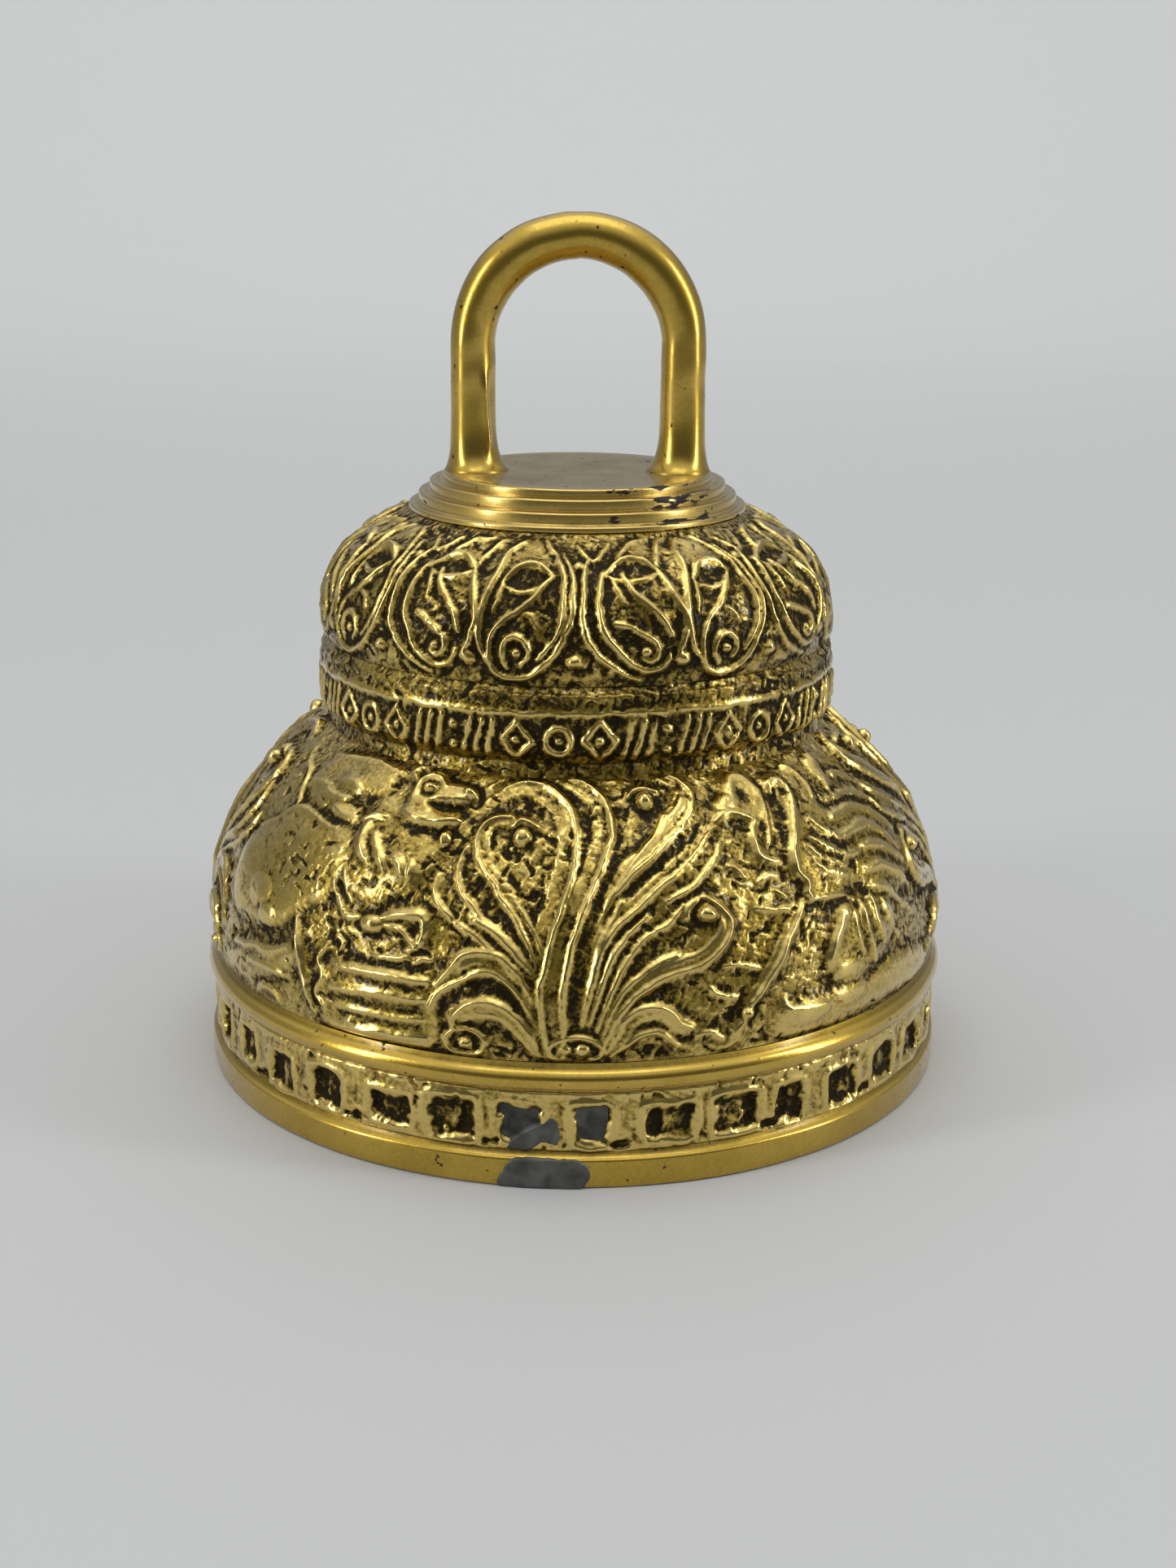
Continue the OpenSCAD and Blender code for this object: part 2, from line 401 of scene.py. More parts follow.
def wander(sheet, values, shiftUp, shiftAround):
    # the layer read at places that are shifted by so many millimetres
    rows, columns = values.shape
    v = np.clip(np.arange(rows)[:, None] + shiftUp / sheet["up"][1], 0, rows - 1.001)
    u = np.arange(columns)[None, :] + shiftAround / (sheet["radius"][:, None] * deg * sheet["perColumn"])
    v0, u0 = np.floor(v).astype(int), np.floor(u).astype(int)
    fv, fu = v - v0, u - u0
    left, right = u0 % columns, (u0 + 1) % columns
    return ((values[v0, left] * (1 - fu) + values[v0, right] * fu) * (1 - fv)
            + (values[v0 + 1, left] * (1 - fu) + values[v0 + 1, right] * fu) * fv)


def ramp(x, low, high):
    t = np.clip((x - low) / (high - low), 0, 1)
    return t * t * (3 - 2 * t)


def finishRelief(sheet, cast):
    # softens the drawing, gives the ground its sand-cast skin, and works out where the patina stays
    seed = cast["seed"]
    shiftUp = 0.26 * grain(sheet, 3.2, seed + 20) + 0.07 * grain(sheet, 1.0, seed + 21)
    shiftAround = 0.26 * grain(sheet, 3.5, seed + 22) + 0.07 * grain(sheet, 1.0, seed + 23)
    ridges, bodies, cuts = (wander(sheet, sheet[key], shiftUp, shiftAround) for key in ("lines", "mass", "cut"))
    ridges = ridges * (0.88 + 0.24 * grain(sheet, 4.2, seed + 24) + 0.08 * grain(sheet, 1.2, seed + 25))
    lines = blur(sheet, ridges, cast["soften"])
    swell = blur(sheet, ridges, 1.6)
    mass = blur(sheet, bodies, 0.7)
    cut = blur(sheet, cuts, 0.22)
    pitted = blur(sheet, sheet["pitted"], 1.5)
    drawn = cast["crest"] * lines + cast["swell"] * swell + cast["bulk"] * mass
    ground = 1 - ramp(cast["crest"] * lines + 0.8 * mass, 0.08, 0.55)
    patchy = 0.5 + 0.5 * grain(sheet, 8.0, seed)
    worms = np.exp(-(grain(sheet, 1.9, seed + 1) / 0.16) ** 2) * ramp(grain(sheet, 2.6, seed + 8), -0.4, 0.5)
    sand = grain(sheet, 0.72, seed + 2) * 0.65 + grain(sheet, 1.2, seed + 3) * 0.45
    wave = grain(sheet, 5.5, seed + 4) * 0.6 + grain(sheet, 3.0, seed + 5) * 0.4
    pits = ramp(grain(sheet, 1.15, seed + 6) + 0.5 * grain(sheet, 3.6, seed + 7) + 0.55 * pitted, 0.6, 0.85)
    bare = 0.12 + 0.88 * np.maximum(ground, 0.8 * pitted)
    skin = cast["rough"] * bare * (0.6 + 0.6 * patchy)
    h = (drawn - cut + cast["wave"] * wave + skin * sand - skin * 1.5 * worms * ground
         - cast["pits"] * pits * bare)
    edge = np.minimum(sheet["up"], sheet["up"][-1] - sheet["up"])[:, None]
    h = h * ramp(edge, 0.0, cast["edge"])
    fine = blur(sheet, h, 0.75) - h
    broad = blur(sheet, h, 2.2) - h
    foot = np.clip(blur(sheet, drawn - cut, 0.9) - (drawn - cut), 0, None)
    deep = (cast["dark"] + cast["ground"] * ground * (0.35 + 1.3 * patchy) + 2.6 * fine + 0.35 * broad + 1.5 * foot
            + 0.20 * pits + 0.14 * worms * ground + 0.5 * ramp(cut, 0.25, 0.8) * (0.5 + patchy)
            + 0.10 * pitted + 0.10 * grain(sheet, 9.0, seed + 10))
    sheet["height"] = h
    sheet["patina"] = np.clip(deep, 0, 1)
    return sheet


def startRelief(profile, spacing, seed=0):
    sheet = newSheet(profile, spacing)
    for layer in ("lines", "mass", "cut", "pitted"):
        sheet[layer] = np.zeros_like(sheet["height"])
    sheet["ragged"] = grain(sheet, 1.6, seed + 40) * 0.6 + grain(sheet, 0.8, seed + 41) * 0.4
    return sheet


def shellPiece(name, sheet, depth, material, start=0, count=None, node="bell_body"):
    # a closed piece of the shell: the relief outside, a plain back, and flat ends
    columns = sheet["columns"]
    whole = count is None
    used = columns if whole else count + 1
    index = (np.arange(used) + start) % columns
    angle = (np.arange(used) + start) * sheet["perColumn"] * deg
    rows = len(sheet["up"])
    h = sheet["height"][:, index]
    r = sheet["radius"][:, None] + h * sheet["outR"][:, None]
    z = sheet["z"][:, None] + h * sheet["outZ"][:, None]
    outer = np.stack([r * np.sin(angle), -r * np.cos(angle), z], axis=-1)
    backRows = np.unique(np.linspace(0, rows - 1, max(2, rows // 28 + 1)).astype(int))
    br = sheet["radius"][backRows, None] - depth * sheet["outR"][backRows, None] + 0 * angle
    bz = sheet["z"][backRows, None] - depth * sheet["outZ"][backRows, None] + 0 * angle
    back = np.stack([br * np.sin(angle), -br * np.cos(angle), bz], axis=-1)
    points = np.concatenate([outer.reshape(-1, 3), back.reshape(-1, 3)]) * mm
    first = rows * used

    def quads(count, offset, flip):
        i, j = np.meshgrid(np.arange(count - 1), np.arange(used if whole else used - 1), indexing="ij")
        k = (j + 1) % used
        q = np.stack([i * used + j, i * used + k, (i + 1) * used + k, (i + 1) * used + j], axis=-1)
        q = q.reshape(-1, 4) + offset
        return q[:, ::-1] if flip else q

    j = np.arange(used if whole else used - 1)
    k = (j + 1) % used
    lastBack = first + (len(backRows) - 1) * used
    lower = np.stack([first + j, first + k, k, j], axis=-1)
    upper = np.stack([(rows - 1) * used + j, (rows - 1) * used + k, lastBack + k, lastBack + j], axis=-1)
    faces = np.concatenate([quads(rows, 0, False), quads(len(backRows), first, True), lower, upper])
    smooth = np.ones(len(faces), bool)
    smooth[-len(lower) - len(upper):] = False
    faces = faces.tolist()
    if not whole:
        for column, flip in ((0, False), (used - 1, True)):
            ring = [i * used + column for i in range(rows)]
            ring += [first + i * used + column for i in reversed(range(len(backRows)))]
            faces.append(ring[::-1] if flip else ring)
        smooth = np.append(smooth, [False, False])
    mesh = bpy.data.meshes.new(name)
    mesh.from_pydata(points.tolist(), [], faces)
    mesh.polygons.foreach_set("use_smooth", smooth)
    setPatina(mesh, np.concatenate([sheet["patina"][:, index].reshape(-1), np.full(back[..., 0].size, 0.8)]))
    if not whole:                           # the given normals hide the seams between the parts of a ring
        full = sheet["height"]
        fullAngle = np.arange(columns) * sheet["perColumn"] * deg
        fr = sheet["radius"][:, None] + full * sheet["outR"][:, None]
        fz = sheet["z"][:, None] + full * sheet["outZ"][:, None]
        grid = np.stack([fr * np.sin(fullAngle), -fr * np.cos(fullAngle), fz], axis=-1)
        across = np.roll(grid, -1, axis=1) - np.roll(grid, 1, axis=1)
        normal = np.cross(across, np.gradient(grid, axis=0))
        normal /= np.linalg.norm(normal, axis=-1, keepdims=True)
        given = np.concatenate([normal[:, index].reshape(-1, 3), np.zeros((back[..., 0].size, 3))])
        mesh.normals_split_custom_set_from_vertices(given.tolist())
    mesh.materials.append(material)
    obj = newObject(name, mesh)
    belongs(obj, "bell", node)
    return obj


# ---- materials

def addNode(tree, kind, values=None, **settings):
    made = tree.nodes.new(kind)
    for key, value in settings.items():
        setattr(made, key, value)
    for key, value in (values or {}).items():
        if isinstance(value, bpy.types.NodeSocket):
            tree.links.new(value, made.inputs[key])
        else:
            made.inputs[key].default_value = value
    return made


def math2(tree, operation, a, b=0.5, clamp=False):
    return addNode(tree, "ShaderNodeMath", {0: a, 1: b}, operation=operation, use_clamp=clamp).outputs[0]


def colorRamp(tree, factor, stops):
    made = addNode(tree, "ShaderNodeValToRGB", {"Fac": factor})
    elements = made.color_ramp.elements
    while len(elements) < len(stops):
        elements.new(0.5)
    for element, (at, color) in zip(elements, stops):
        element.position = at
        element.color = (*color, 1)
    return made.outputs["Color"]


def floatRamp(tree, value, lowIn, highIn, lowOut, highOut):
    return addNode(tree, "ShaderNodeMapRange",
                   {"Value": value, "From Min": lowIn, "From Max": highIn, "To Min": lowOut, "To Max": highOut},
                   clamp=True).outputs["Result"]


def newGroup(name, ins, outs):
    group = bpy.data.node_groups.new(name, "ShaderNodeTree")
    for socket, kind, value in ins:
        made = group.interface.new_socket(name=socket, in_out="INPUT", socket_type=kind)
        made.default_value = value
    for socket, kind in outs:
        group.interface.new_socket(name=socket, in_out="OUTPUT", socket_type=kind)
    return group, group.nodes.new("NodeGroupInput").outputs, group.nodes.new("NodeGroupOutput").inputs


def buildTarnish():
    # blotches and specks of tarnish over a given mask, in millimetre-sized detail
    group, given, out = newGroup(
        "tarnish",
        [("Mask", "NodeSocketFloat", 0.5), ("Specks", "NodeSocketFloat", 0.3),
         ("Blotches", "NodeSocketFloat", 0.2), ("Pinholes", "NodeSocketFloat", 0.2),
         ("Wrinkles", "NodeSocketFloat", 0.0)],
        [("Mask", "NodeSocketFloat"), ("Grit", "NodeSocketFloat")])
    at = addNode(group, "ShaderNodeTexCoord").outputs["Object"]
    fine = addNode(group, "ShaderNodeTexNoise", {"Vector": at, "Scale": 1700, "Detail": 4, "Roughness": 0.7})
    broad = addNode(group, "ShaderNodeTexNoise", {"Vector": at, "Scale": 140, "Detail": 5, "Roughness": 0.62})
    holes = addNode(group, "ShaderNodeTexNoise", {"Vector": at, "Scale": 620, "Detail": 2, "Roughness": 0.5})
    speck = math2(group, "MULTIPLY", math2(group, "SUBTRACT", fine.outputs["Fac"], 0.5), given["Specks"])
    blotch = math2(group, "MULTIPLY", math2(group, "SUBTRACT", broad.outputs["Fac"], 0.5), given["Blotches"])
    deep = floatRamp(group, holes.outputs["Fac"], 0.69, 0.74, 0.0, 1.0)
    hole = math2(group, "MULTIPLY", deep, given["Pinholes"])
    total = math2(group, "ADD", math2(group, "MULTIPLY", speck, 4.0), math2(group, "MULTIPLY", blotch, 4.0))
    sandy = addNode(group, "ShaderNodeTexNoise", {"Vector": at, "Scale": 760, "Detail": 3, "Roughness": 0.55,
                                                  "Distortion": 1.4})
    ground = math2(group, "MULTIPLY", floatRamp(group, given["Mask"], 0.10, 0.36, 0.08, 1.0), given["Wrinkles"])
    wrinkle = math2(group, "MULTIPLY", math2(group, "SUBTRACT", sandy.outputs["Fac"], 0.5), ground)
    total = math2(group, "SUBTRACT", total, math2(group, "MULTIPLY", wrinkle, 1.7))
    total = math2(group, "ADD", math2(group, "ADD", total, hole), given["Mask"], True)
    group.links.new(total, out["Mask"])
    grit = math2(group, "SUBTRACT", fine.outputs["Fac"], math2(group, "MULTIPLY", hole, 1.5))
    group.links.new(math2(group, "ADD", grit, math2(group, "MULTIPLY", wrinkle, 4.5)), out["Grit"])
    return group


def buildChips():
    # flakes of old black left in turned grooves: long round the axis, kept to one side of the ring
    group, given, out = newGroup(
        "chips", [("Middle", "NodeSocketFloat", 0.5), ("Spread", "NodeSocketFloat", 0.5),
                  ("Amount", "NodeSocketFloat", 0.5)], [("Mask", "NodeSocketFloat")])
    at = addNode(group, "ShaderNodeTexCoord").outputs["Object"]
    part = addNode(group, "ShaderNodeSeparateXYZ", {"Vector": at}).outputs
    turn = math2(group, "ARCTAN2", part[0], math2(group, "MULTIPLY", part[1], -1.0))
    side = math2(group, "DIVIDE", math2(group, "SUBTRACT", turn, given["Middle"]), given["Spread"])
    near = math2(group, "SUBTRACT", 1.0, math2(group, "MULTIPLY", side, side), True)
    away = math2(group, "SQRT", math2(group, "ADD", math2(group, "MULTIPLY", part[0], part[0]),
                                      math2(group, "MULTIPLY", part[1], part[1])))
    place = addNode(group, "ShaderNodeCombineXYZ", {"X": math2(group, "MULTIPLY", turn, 0.007), "Y": away,
                                                    "Z": part[2]}).outputs[0]
    flakes = addNode(group, "ShaderNodeTexNoise", {"Vector": place, "Scale": 520, "Detail": 3, "Roughness": 0.6})
    level = math2(group, "ADD", flakes.outputs["Fac"], math2(group, "MULTIPLY", near, given["Amount"]))
    flake = floatRamp(group, level, 0.70, 0.73, 0.0, 1.0)
    offTop = floatRamp(group, away, 0.0208, 0.0214, 0.0, 1.0)
    group.links.new(math2(group, "MULTIPLY", flake, offTop), out["Mask"])
    return group


def buildScuffs():
    # fine polishing lines that run in every direction, as a height
    group, given, out = newGroup(
        "scuffs", [("Scale", "NodeSocketFloat", 900.0)], [("Height", "NodeSocketFloat")])
    at = addNode(group, "ShaderNodeTexCoord").outputs["Object"]
    total = None
    for turn in ((0.3, 0.2, 0.9), (1.2, 0.7, 0.1), (2.0, 1.5, 0.6)):
        turned = addNode(group, "ShaderNodeMapping", {"Vector": at, "Rotation": turn, "Scale": (1, 1, 0.04)})
        lines = addNode(group, "ShaderNodeTexNoise",
                        {"Vector": turned.outputs[0], "Scale": given["Scale"], "Detail": 2})
        total = lines.outputs["Fac"] if total is None else math2(group, "ADD", total, lines.outputs["Fac"])
    group.links.new(math2(group, "MULTIPLY", total, 0.333), out["Height"])
    return group


tarnish = buildTarnish()
scuffs = buildScuffs()
chips = buildChips()


def metalMaterial(name, look):
    mat = bpy.data.materials.new(name)
    mat.use_nodes = True
    tree = mat.node_tree
    shader = tree.nodes["Principled BSDF"]
    if look["mask"] == "patina":
        mask = addNode(tree, "ShaderNodeAttribute", attribute_name="patina").outputs["Fac"]
    else:
        mask = look["mask"]
    if "chips" in look:
        flakes = addNode(tree, "ShaderNodeGroup", node_tree=chips)
        for socket, value in zip(flakes.inputs, look["chips"]):
            socket.default_value = value
        mask = math2(tree, "ADD", mask, flakes.outputs["Mask"], True)
    aged = addNode(tree, "ShaderNodeGroup", node_tree=tarnish)
    if isinstance(mask, float):
        aged.inputs["Mask"].default_value = mask
    else:
        tree.links.new(mask, aged.inputs["Mask"])
    for key in ("specks", "blotches", "pinholes", "wrinkles"):
        aged.inputs[key.capitalize()].default_value = look.get(key, 0.0)
    age = aged.outputs["Mask"]
    tree.links.new(colorRamp(tree, age, look["colors"]), shader.inputs["Base Color"])
    tree.links.new(floatRamp(tree, age, 0.1, 0.9, *look["roughness"]), shader.inputs["Roughness"])
    tree.links.new(floatRamp(tree, age, 0.55, 0.95, *look["metallic"]), shader.inputs["Metallic"])
    lines = addNode(tree, "ShaderNodeGroup", node_tree=scuffs)
    scratched = math2(tree, "MULTIPLY", lines.outputs["Height"], look.get("scuff", 0.15))
    gritty = math2(tree, "MULTIPLY", aged.outputs["Grit"], math2(tree, "MULTIPLY", age, look["grit"]))
    raised = addNode(tree, "ShaderNodeBump", {"Height": math2(tree, "ADD", scratched, gritty),
                                              "Strength": look["bump"], "Distance": 0.0003})
    tree.links.new(raised.outputs["Normal"], shader.inputs["Normal"])
    shader.inputs["Coat Roughness"].default_value = 0.14
    if "coat" in look:
        tree.links.new(floatRamp(tree, age, 0.35, 0.8, *look["coat"]), shader.inputs["Coat Weight"])
    return mat


castBrass = metalMaterial("castBrass", {
    "mask": "patina", "specks": 0.24, "blotches": 0.08, "wrinkles": 1.0, "coat": (0.8, 0.1),
    "colors": [(0.0, (0.71, 0.525, 0.15)), (0.2, (0.48, 0.335, 0.054)), (0.42, (0.31, 0.212, 0.028)),
               (0.64, (0.14, 0.094, 0.011)), (0.88, (0.028, 0.019, 0.004))],
    "roughness": (0.20, 0.78), "metallic": (1.0, 0.9), "scuff": 0.08, "grit": 0.6, "bump": 0.35,
})
turnedBrass = metalMaterial("turnedBrass", {
    "mask": "patina", "specks": 0.10, "blotches": 0.10, "pinholes": 0.7, "coat": (0.8, 0.1),
    "colors": [(0.0, (0.71, 0.48, 0.085)), (0.3, (0.51, 0.335, 0.034)), (0.6, (0.25, 0.165, 0.018)),
               (0.8, (0.06, 0.040, 0.010)), (0.95, (0.022, 0.015, 0.006))],
    "roughness": (0.20, 0.55), "metallic": (1.0, 0.4), "scuff": 0.2, "grit": 0.3, "bump": 0.22,
})
crownBrass = metalMaterial("crownBrass", {
    "mask": "patina", "specks": 0.10, "blotches": 0.16, "pinholes": 0.6, "chips": (0.72, 0.62, 0.13),
    "coat": (0.8, 0.1),
    "colors": [(0.0, (0.66, 0.46, 0.12)), (0.35, (0.50, 0.35, 0.075)), (0.6, (0.27, 0.205, 0.075)),
               (0.8, (0.06, 0.042, 0.02)), (0.95, (0.022, 0.012, 0.008))],
    "roughness": (0.25, 0.60), "metallic": (1.0, 0.4), "scuff": 0.25, "grit": 0.3, "bump": 0.25,
})
innerBrass = metalMaterial("innerBrass", {
    "mask": 0.5, "specks": 0.15, "blotches": 0.25,
    "colors": [(0.0, (0.40, 0.27, 0.07)), (0.5, (0.22, 0.15, 0.05)), (0.9, (0.05, 0.04, 0.025))],
    "roughness": (0.4, 0.7), "metallic": (1.0, 0.6), "grit": 0.8, "bump": 0.5,
})
darkSteel = metalMaterial("darkSteel", {
    "mask": "patina", "specks": 0.2, "blotches": 0.3,
    "colors": [(0.0, (0.36, 0.34, 0.31)), (0.5, (0.16, 0.14, 0.12)), (0.9, (0.08, 0.035, 0.015))],
    "roughness": (0.35, 0.75), "metallic": (1.0, 0.3), "grit": 0.7, "bump": 0.4,
})
strikerBrass = metalMaterial("strikerBrass", {
    "mask": "patina", "specks": 0.15, "blotches": 0.3,
    "colors": [(0.0, (0.55, 0.38, 0.10)), (0.5, (0.30, 0.21, 0.06)), (0.9, (0.05, 0.04, 0.025))],
    "roughness": (0.3, 0.6), "metallic": (1.0, 0.5), "grit": 0.5, "bump": 0.35,
})
solderGrey = metalMaterial("solderGrey", {
    "mask": "patina", "specks": 0.15, "blotches": 0.15,
    "colors": [(0.0, (0.16, 0.165, 0.15)), (0.5, (0.10, 0.10, 0.09)), (0.9, (0.03, 0.03, 0.025))],
    "roughness": (0.45, 0.7), "metallic": (0.8, 0.4), "scuff": 0.5, "grit": 0.4, "bump": 0.4,
})
print("metals mixed")


# ---- skirt

skirt = {
    "center": (mouthR - 1.3 - 41.5, 22.0), "radius": 41.5, "from": -3, "to": 59,
    "spacing": 0.225, "depth": 2.2,
    "cast": {"soften": 0.16, "crest": 0.95, "swell": 0.70, "bulk": 1.5, "rough": 0.16, "wave": 0.10, "pits": 0.24,
             "edge": 1.0, "dark": 0.19, "ground": 0.09, "seed": 11},
}

# A figure's fills are (outline, height, shoulder), its lines (points, width, height, and for some the width of a
# flat on the left, or right below 0), its knobs (place, half width, half height, height), its rings (place, half
# width, half height, width, height), its cuts (points, width, depth) and its pitted places (place, half sizes).
vine = {
    "wide": 1.15, "tall": 1.0, "taper": (0.4, 0.75),
    "lines": [
        ([(-3.4, 0.5), (-4.5, 9.8), (-3.9, 15), (-2.9, 19.5), (-1.2, 25), (0.1, 30), (0.5, 34), (-0.4, 38),
          (-3, 41), (-6.5, 42.7), (-10.5, 43), (-13.6, 41.8)], 1.3, 1.05, 3.0),
        ([(-1.2, 0.5), (-1.5, 9.8), (-0.7, 16), (0.8, 21), (2.9, 26), (5, 30.8), (6.3, 35), (5.9, 39),
          (3.6, 42),
          (0.4, 43.9), (-3, 44.9)], 1.3, 1.05, 2.8),
        ([(-5, 14), (-6.6, 17.5), (-9, 22), (-12, 25.4), (-14.6, 28.4), (-16.4, 31.8), (-16, 34.8), (-14, 36.4),
          (-11.6, 36.6)], 1.3, 1.0, -2.0),
        ([(-3.8, 15), (-5.4, 18.6), (-7.4, 22), (-10, 25)], 0.9, 0.7),
        ([(-13.3, 20.6), (-15.6, 22.6), (-17.6, 25.2), (-18.5, 28.5), (-17.8, 31.2)], 1.1, 1.0),
        ([(-4.8, 12), (-8, 16), (-11, 18.7), (-14.6, 20.4)], 1.8, 0.7),
        ([(-17.8, 20.3), (-20, 21.8), (-21.4, 24), (-21.7, 26.4)], 1.3, 0.85),
        ([(-5.2, 9), (-9, 13.8), (-13.6, 17.6), (-18.6, 20.2)], 1.4, 0.6),
        ([(-4.8, 8), (-7.4, 13), (-10.2, 15.4), (-13.4, 15.9), (-16.4, 15.0), (-18.4, 12),
          (-19.4, 10.4)], 1.5, 0.8, 2.0),
        ([(-5, 6), (-7.8, 10.4), (-10.4, 12.7), (-13, 13.1), (-16.4, 11.4), (-18.8, 9.6),
          (-20.3, 7)], 1.1, 0.8),
        ([(-4.6, 1), (-6.6, 5.6), (-9.2, 8.2), (-12.2, 9), (-15, 8.2), (-16.9, 5.6),
          (-16.4, 4.2)], 1.5, 1.0, 2.2),
        ([(-5.2, 0.8), (-8, 4.6), (-10.6, 6.6), (-13.8, 6.9)], 1.2, 0.6),
        ([(5.4, 24), (8.8, 27.6), (12.6, 30.2), (16, 32.8), (19.6, 35.6), (21.8, 37.8), (22.6, 40.4),
          (21.2, 42.7),
          (19.6, 44)], 1.4, 1.0, 2.6),
        ([(3.4, 20), (6.5, 26), (10, 30.4), (13.5, 33.6), (16, 36.8)], 1.0, 0.6),
        ([(1.2, 6), (2.6, 13), (4.6, 19.4), (7.2, 23.8)], 1.4, 0.8),
        ([(3, 14), (5.4, 19.5), (9, 22.6), (12.6, 25.4), (16.8, 28.2), (20.4, 30.9),
          (23.4, 33.2)], 1.3, 0.95, 1.8),
        ([(2.2, 6), (4.6, 14.4), (7.4, 18.6), (10.5, 21.6)], 1.1, 0.75),
        ([(14, 23.6), (17.4, 24.9), (20, 26.6), (22.8, 28.8), (24.4, 31)], 1.1, 0.85),
        ([(3.2, 5), (5.8, 12.4), (9.6, 17.9), (13.8, 20.4), (16.6, 23)], 1.0, 0.75),
        ([(3.8, 4), (6.4, 10.2), (10, 13.6), (14.6, 15.6)], 1.1, 0.7),
        ([(4, 3), (7, 8.4), (10.4, 11.4), (14.8, 12.9), (19, 14.2), (22.2, 16.6), (23.3, 19.4), (22, 22.2),
          (20, 23.4)], 1.5, 1.0, 2.2),
        ([(4.4, 1.5), (7, 6.6), (10, 8.4), (12.8, 8), (14.8, 5.6), (16.6, 4.6)], 1.5, 0.85, -2.0),
        ([(5.2, 1), (8.5, 4), (11.4, 4.6), (13, 3.4), (14.2, 2)], 1.1, 0.75),
        ([(16.6, 3.2), (19, 3.6), (21, 2.4)], 1.1, 0.7),
        ([(10.4, 40.8), (12.4, 41.6), (16, 41.2)], 1.3, 1.0),
        ([(-11, 35.2), (-9.6, 36.3), (-7, 35.6)], 1.5, 0.9),
        ([(16.6, 20.4), (17.3, 22.6), (19.2, 23.6)], 1.6, 0.7),
    ],
    "fills": [
        ([(-6, 3), (-7, 12), (-4, 22), (0, 28), (3, 24), (5, 20), (8, 14), (7, 3), (0, 0.5)], 0.34, 3.0),
        ([(-13.5, 41.4), (-10, 42), (-6, 41.4), (-2.4, 38.6), (-1, 34), (-0.4, 37), (-2.4, 40.8), (-6.4, 43.2),
          (-11, 43.4)], 0.35, 0.9),
        ([(6, 25), (9, 30), (13.4, 34.6), (16, 38.4), (19, 41), (21.4, 41), (21.8, 38.4), (18, 34.8),
          (12, 29.8)],
         0.38, 1.6),
        ([(9, 19), (13, 24.4), (18, 28.6), (23.6, 32.6), (22, 29), (16, 24.4)], 0.3, 1.4),
        ([(6, 9), (11, 14.4), (17, 18), (20, 22), (23, 20), (21.4, 15.8), (14, 13)], 0.34, 1.6),
        ([(-5, 4), (-9, 9.4), (-14, 9.4), (-17, 6.4), (-15, 4.8), (-10, 5.4), (-6, 1.4)], 0.3, 1.4),
        ([(-5, 9), (-9, 15.4), (-14, 16.6), (-18.6, 13.4), (-14, 12.4), (-9, 11.4)], 0.3, 1.4),
        ([(-6, 14), (-9, 19.4), (-14, 21.4), (-18.6, 21.4), (-13, 18), (-9, 14.4)], 0.3, 1.4),
        ([(4, 2), (8, 8.6), (13, 8.8), (16, 5), (12, 2.4)], 0.3, 1.4),
    ],
    "knobs": [
        ((-9, 33.6), 1.4, 1.5, 1.8), ((13, 39.2), 1.6, 1.6, 1.9), ((19.9, 21.2), 1.6, 1.4, 1.8),
        ((-15, 2.2), 1.2, 0.8, 1.3), ((-1.2, 2.2), 1.0, 0.9, 0.8), ((1.2, 2.2), 1.0, 0.9, 0.8),
    ],
    "rings": [((-15, 2.3), 2.7, 2.1, 0.9, 1.0), ((0.3, 2.1), 3.6, 2.0, 0.7, 0.8)],
    "pitted": [((-5.5, 29.5), 2.0, 4.5), ((-14, 39), 1.6, 1.6), ((16, 36), 1.8, 2.2), ((2.4, 14), 1.6, 6)],
}


def ringPoints(at, halfWide, halfHigh, perDegree, count=14):
    return [(at[0] + halfWide / perDegree * math.cos(i / count * 2 * math.pi),
             at[1] + halfHigh * math.sin(i / count * 2 * math.pi)) for i in range(count + 1)]


def placed(points, turn, size, shift):
    return [(turn + (x + shift) * size, up) for x, up in points]


def drawFigure(sheet, figure, turn, size=1, shift=0.0):
    # size scales the figure's angles, and -1 turns it round
    def put(points):
        return placed(points, turn, size, shift)

    for outline, height, edge in figure["fills"]:
        fillShape(sheet, put(outline), height, edge)
    for points, width, height, *band in figure["lines"]:
        drawLine(sheet, put(points), width * figure["wide"], height * figure["tall"],
                 band=band[0] * size if band else 0, taper=figure["taper"])
    for at, halfWide, halfHigh, height in figure["knobs"]:
        raiseKnob(sheet, put([at])[0], (halfWide, halfHigh), height)
    perDegree = sheet["radius"].mean() * deg
    for at, halfWide, halfHigh, width, height in figure.get("rings", []):
        drawLine(sheet, put(ringPoints(at, halfWide, halfHigh, perDegree)), width, height, taper=(1, 1))
    for points, width, depth in figure.get("cuts", []):
        drawLine(sheet, put(points), width, depth, layer="cut")
    for at, halfWide, halfHigh in figure["pitted"]:
        raiseKnob(sheet, put([at])[0], (halfWide, halfHigh), 1.0, layer="pitted")


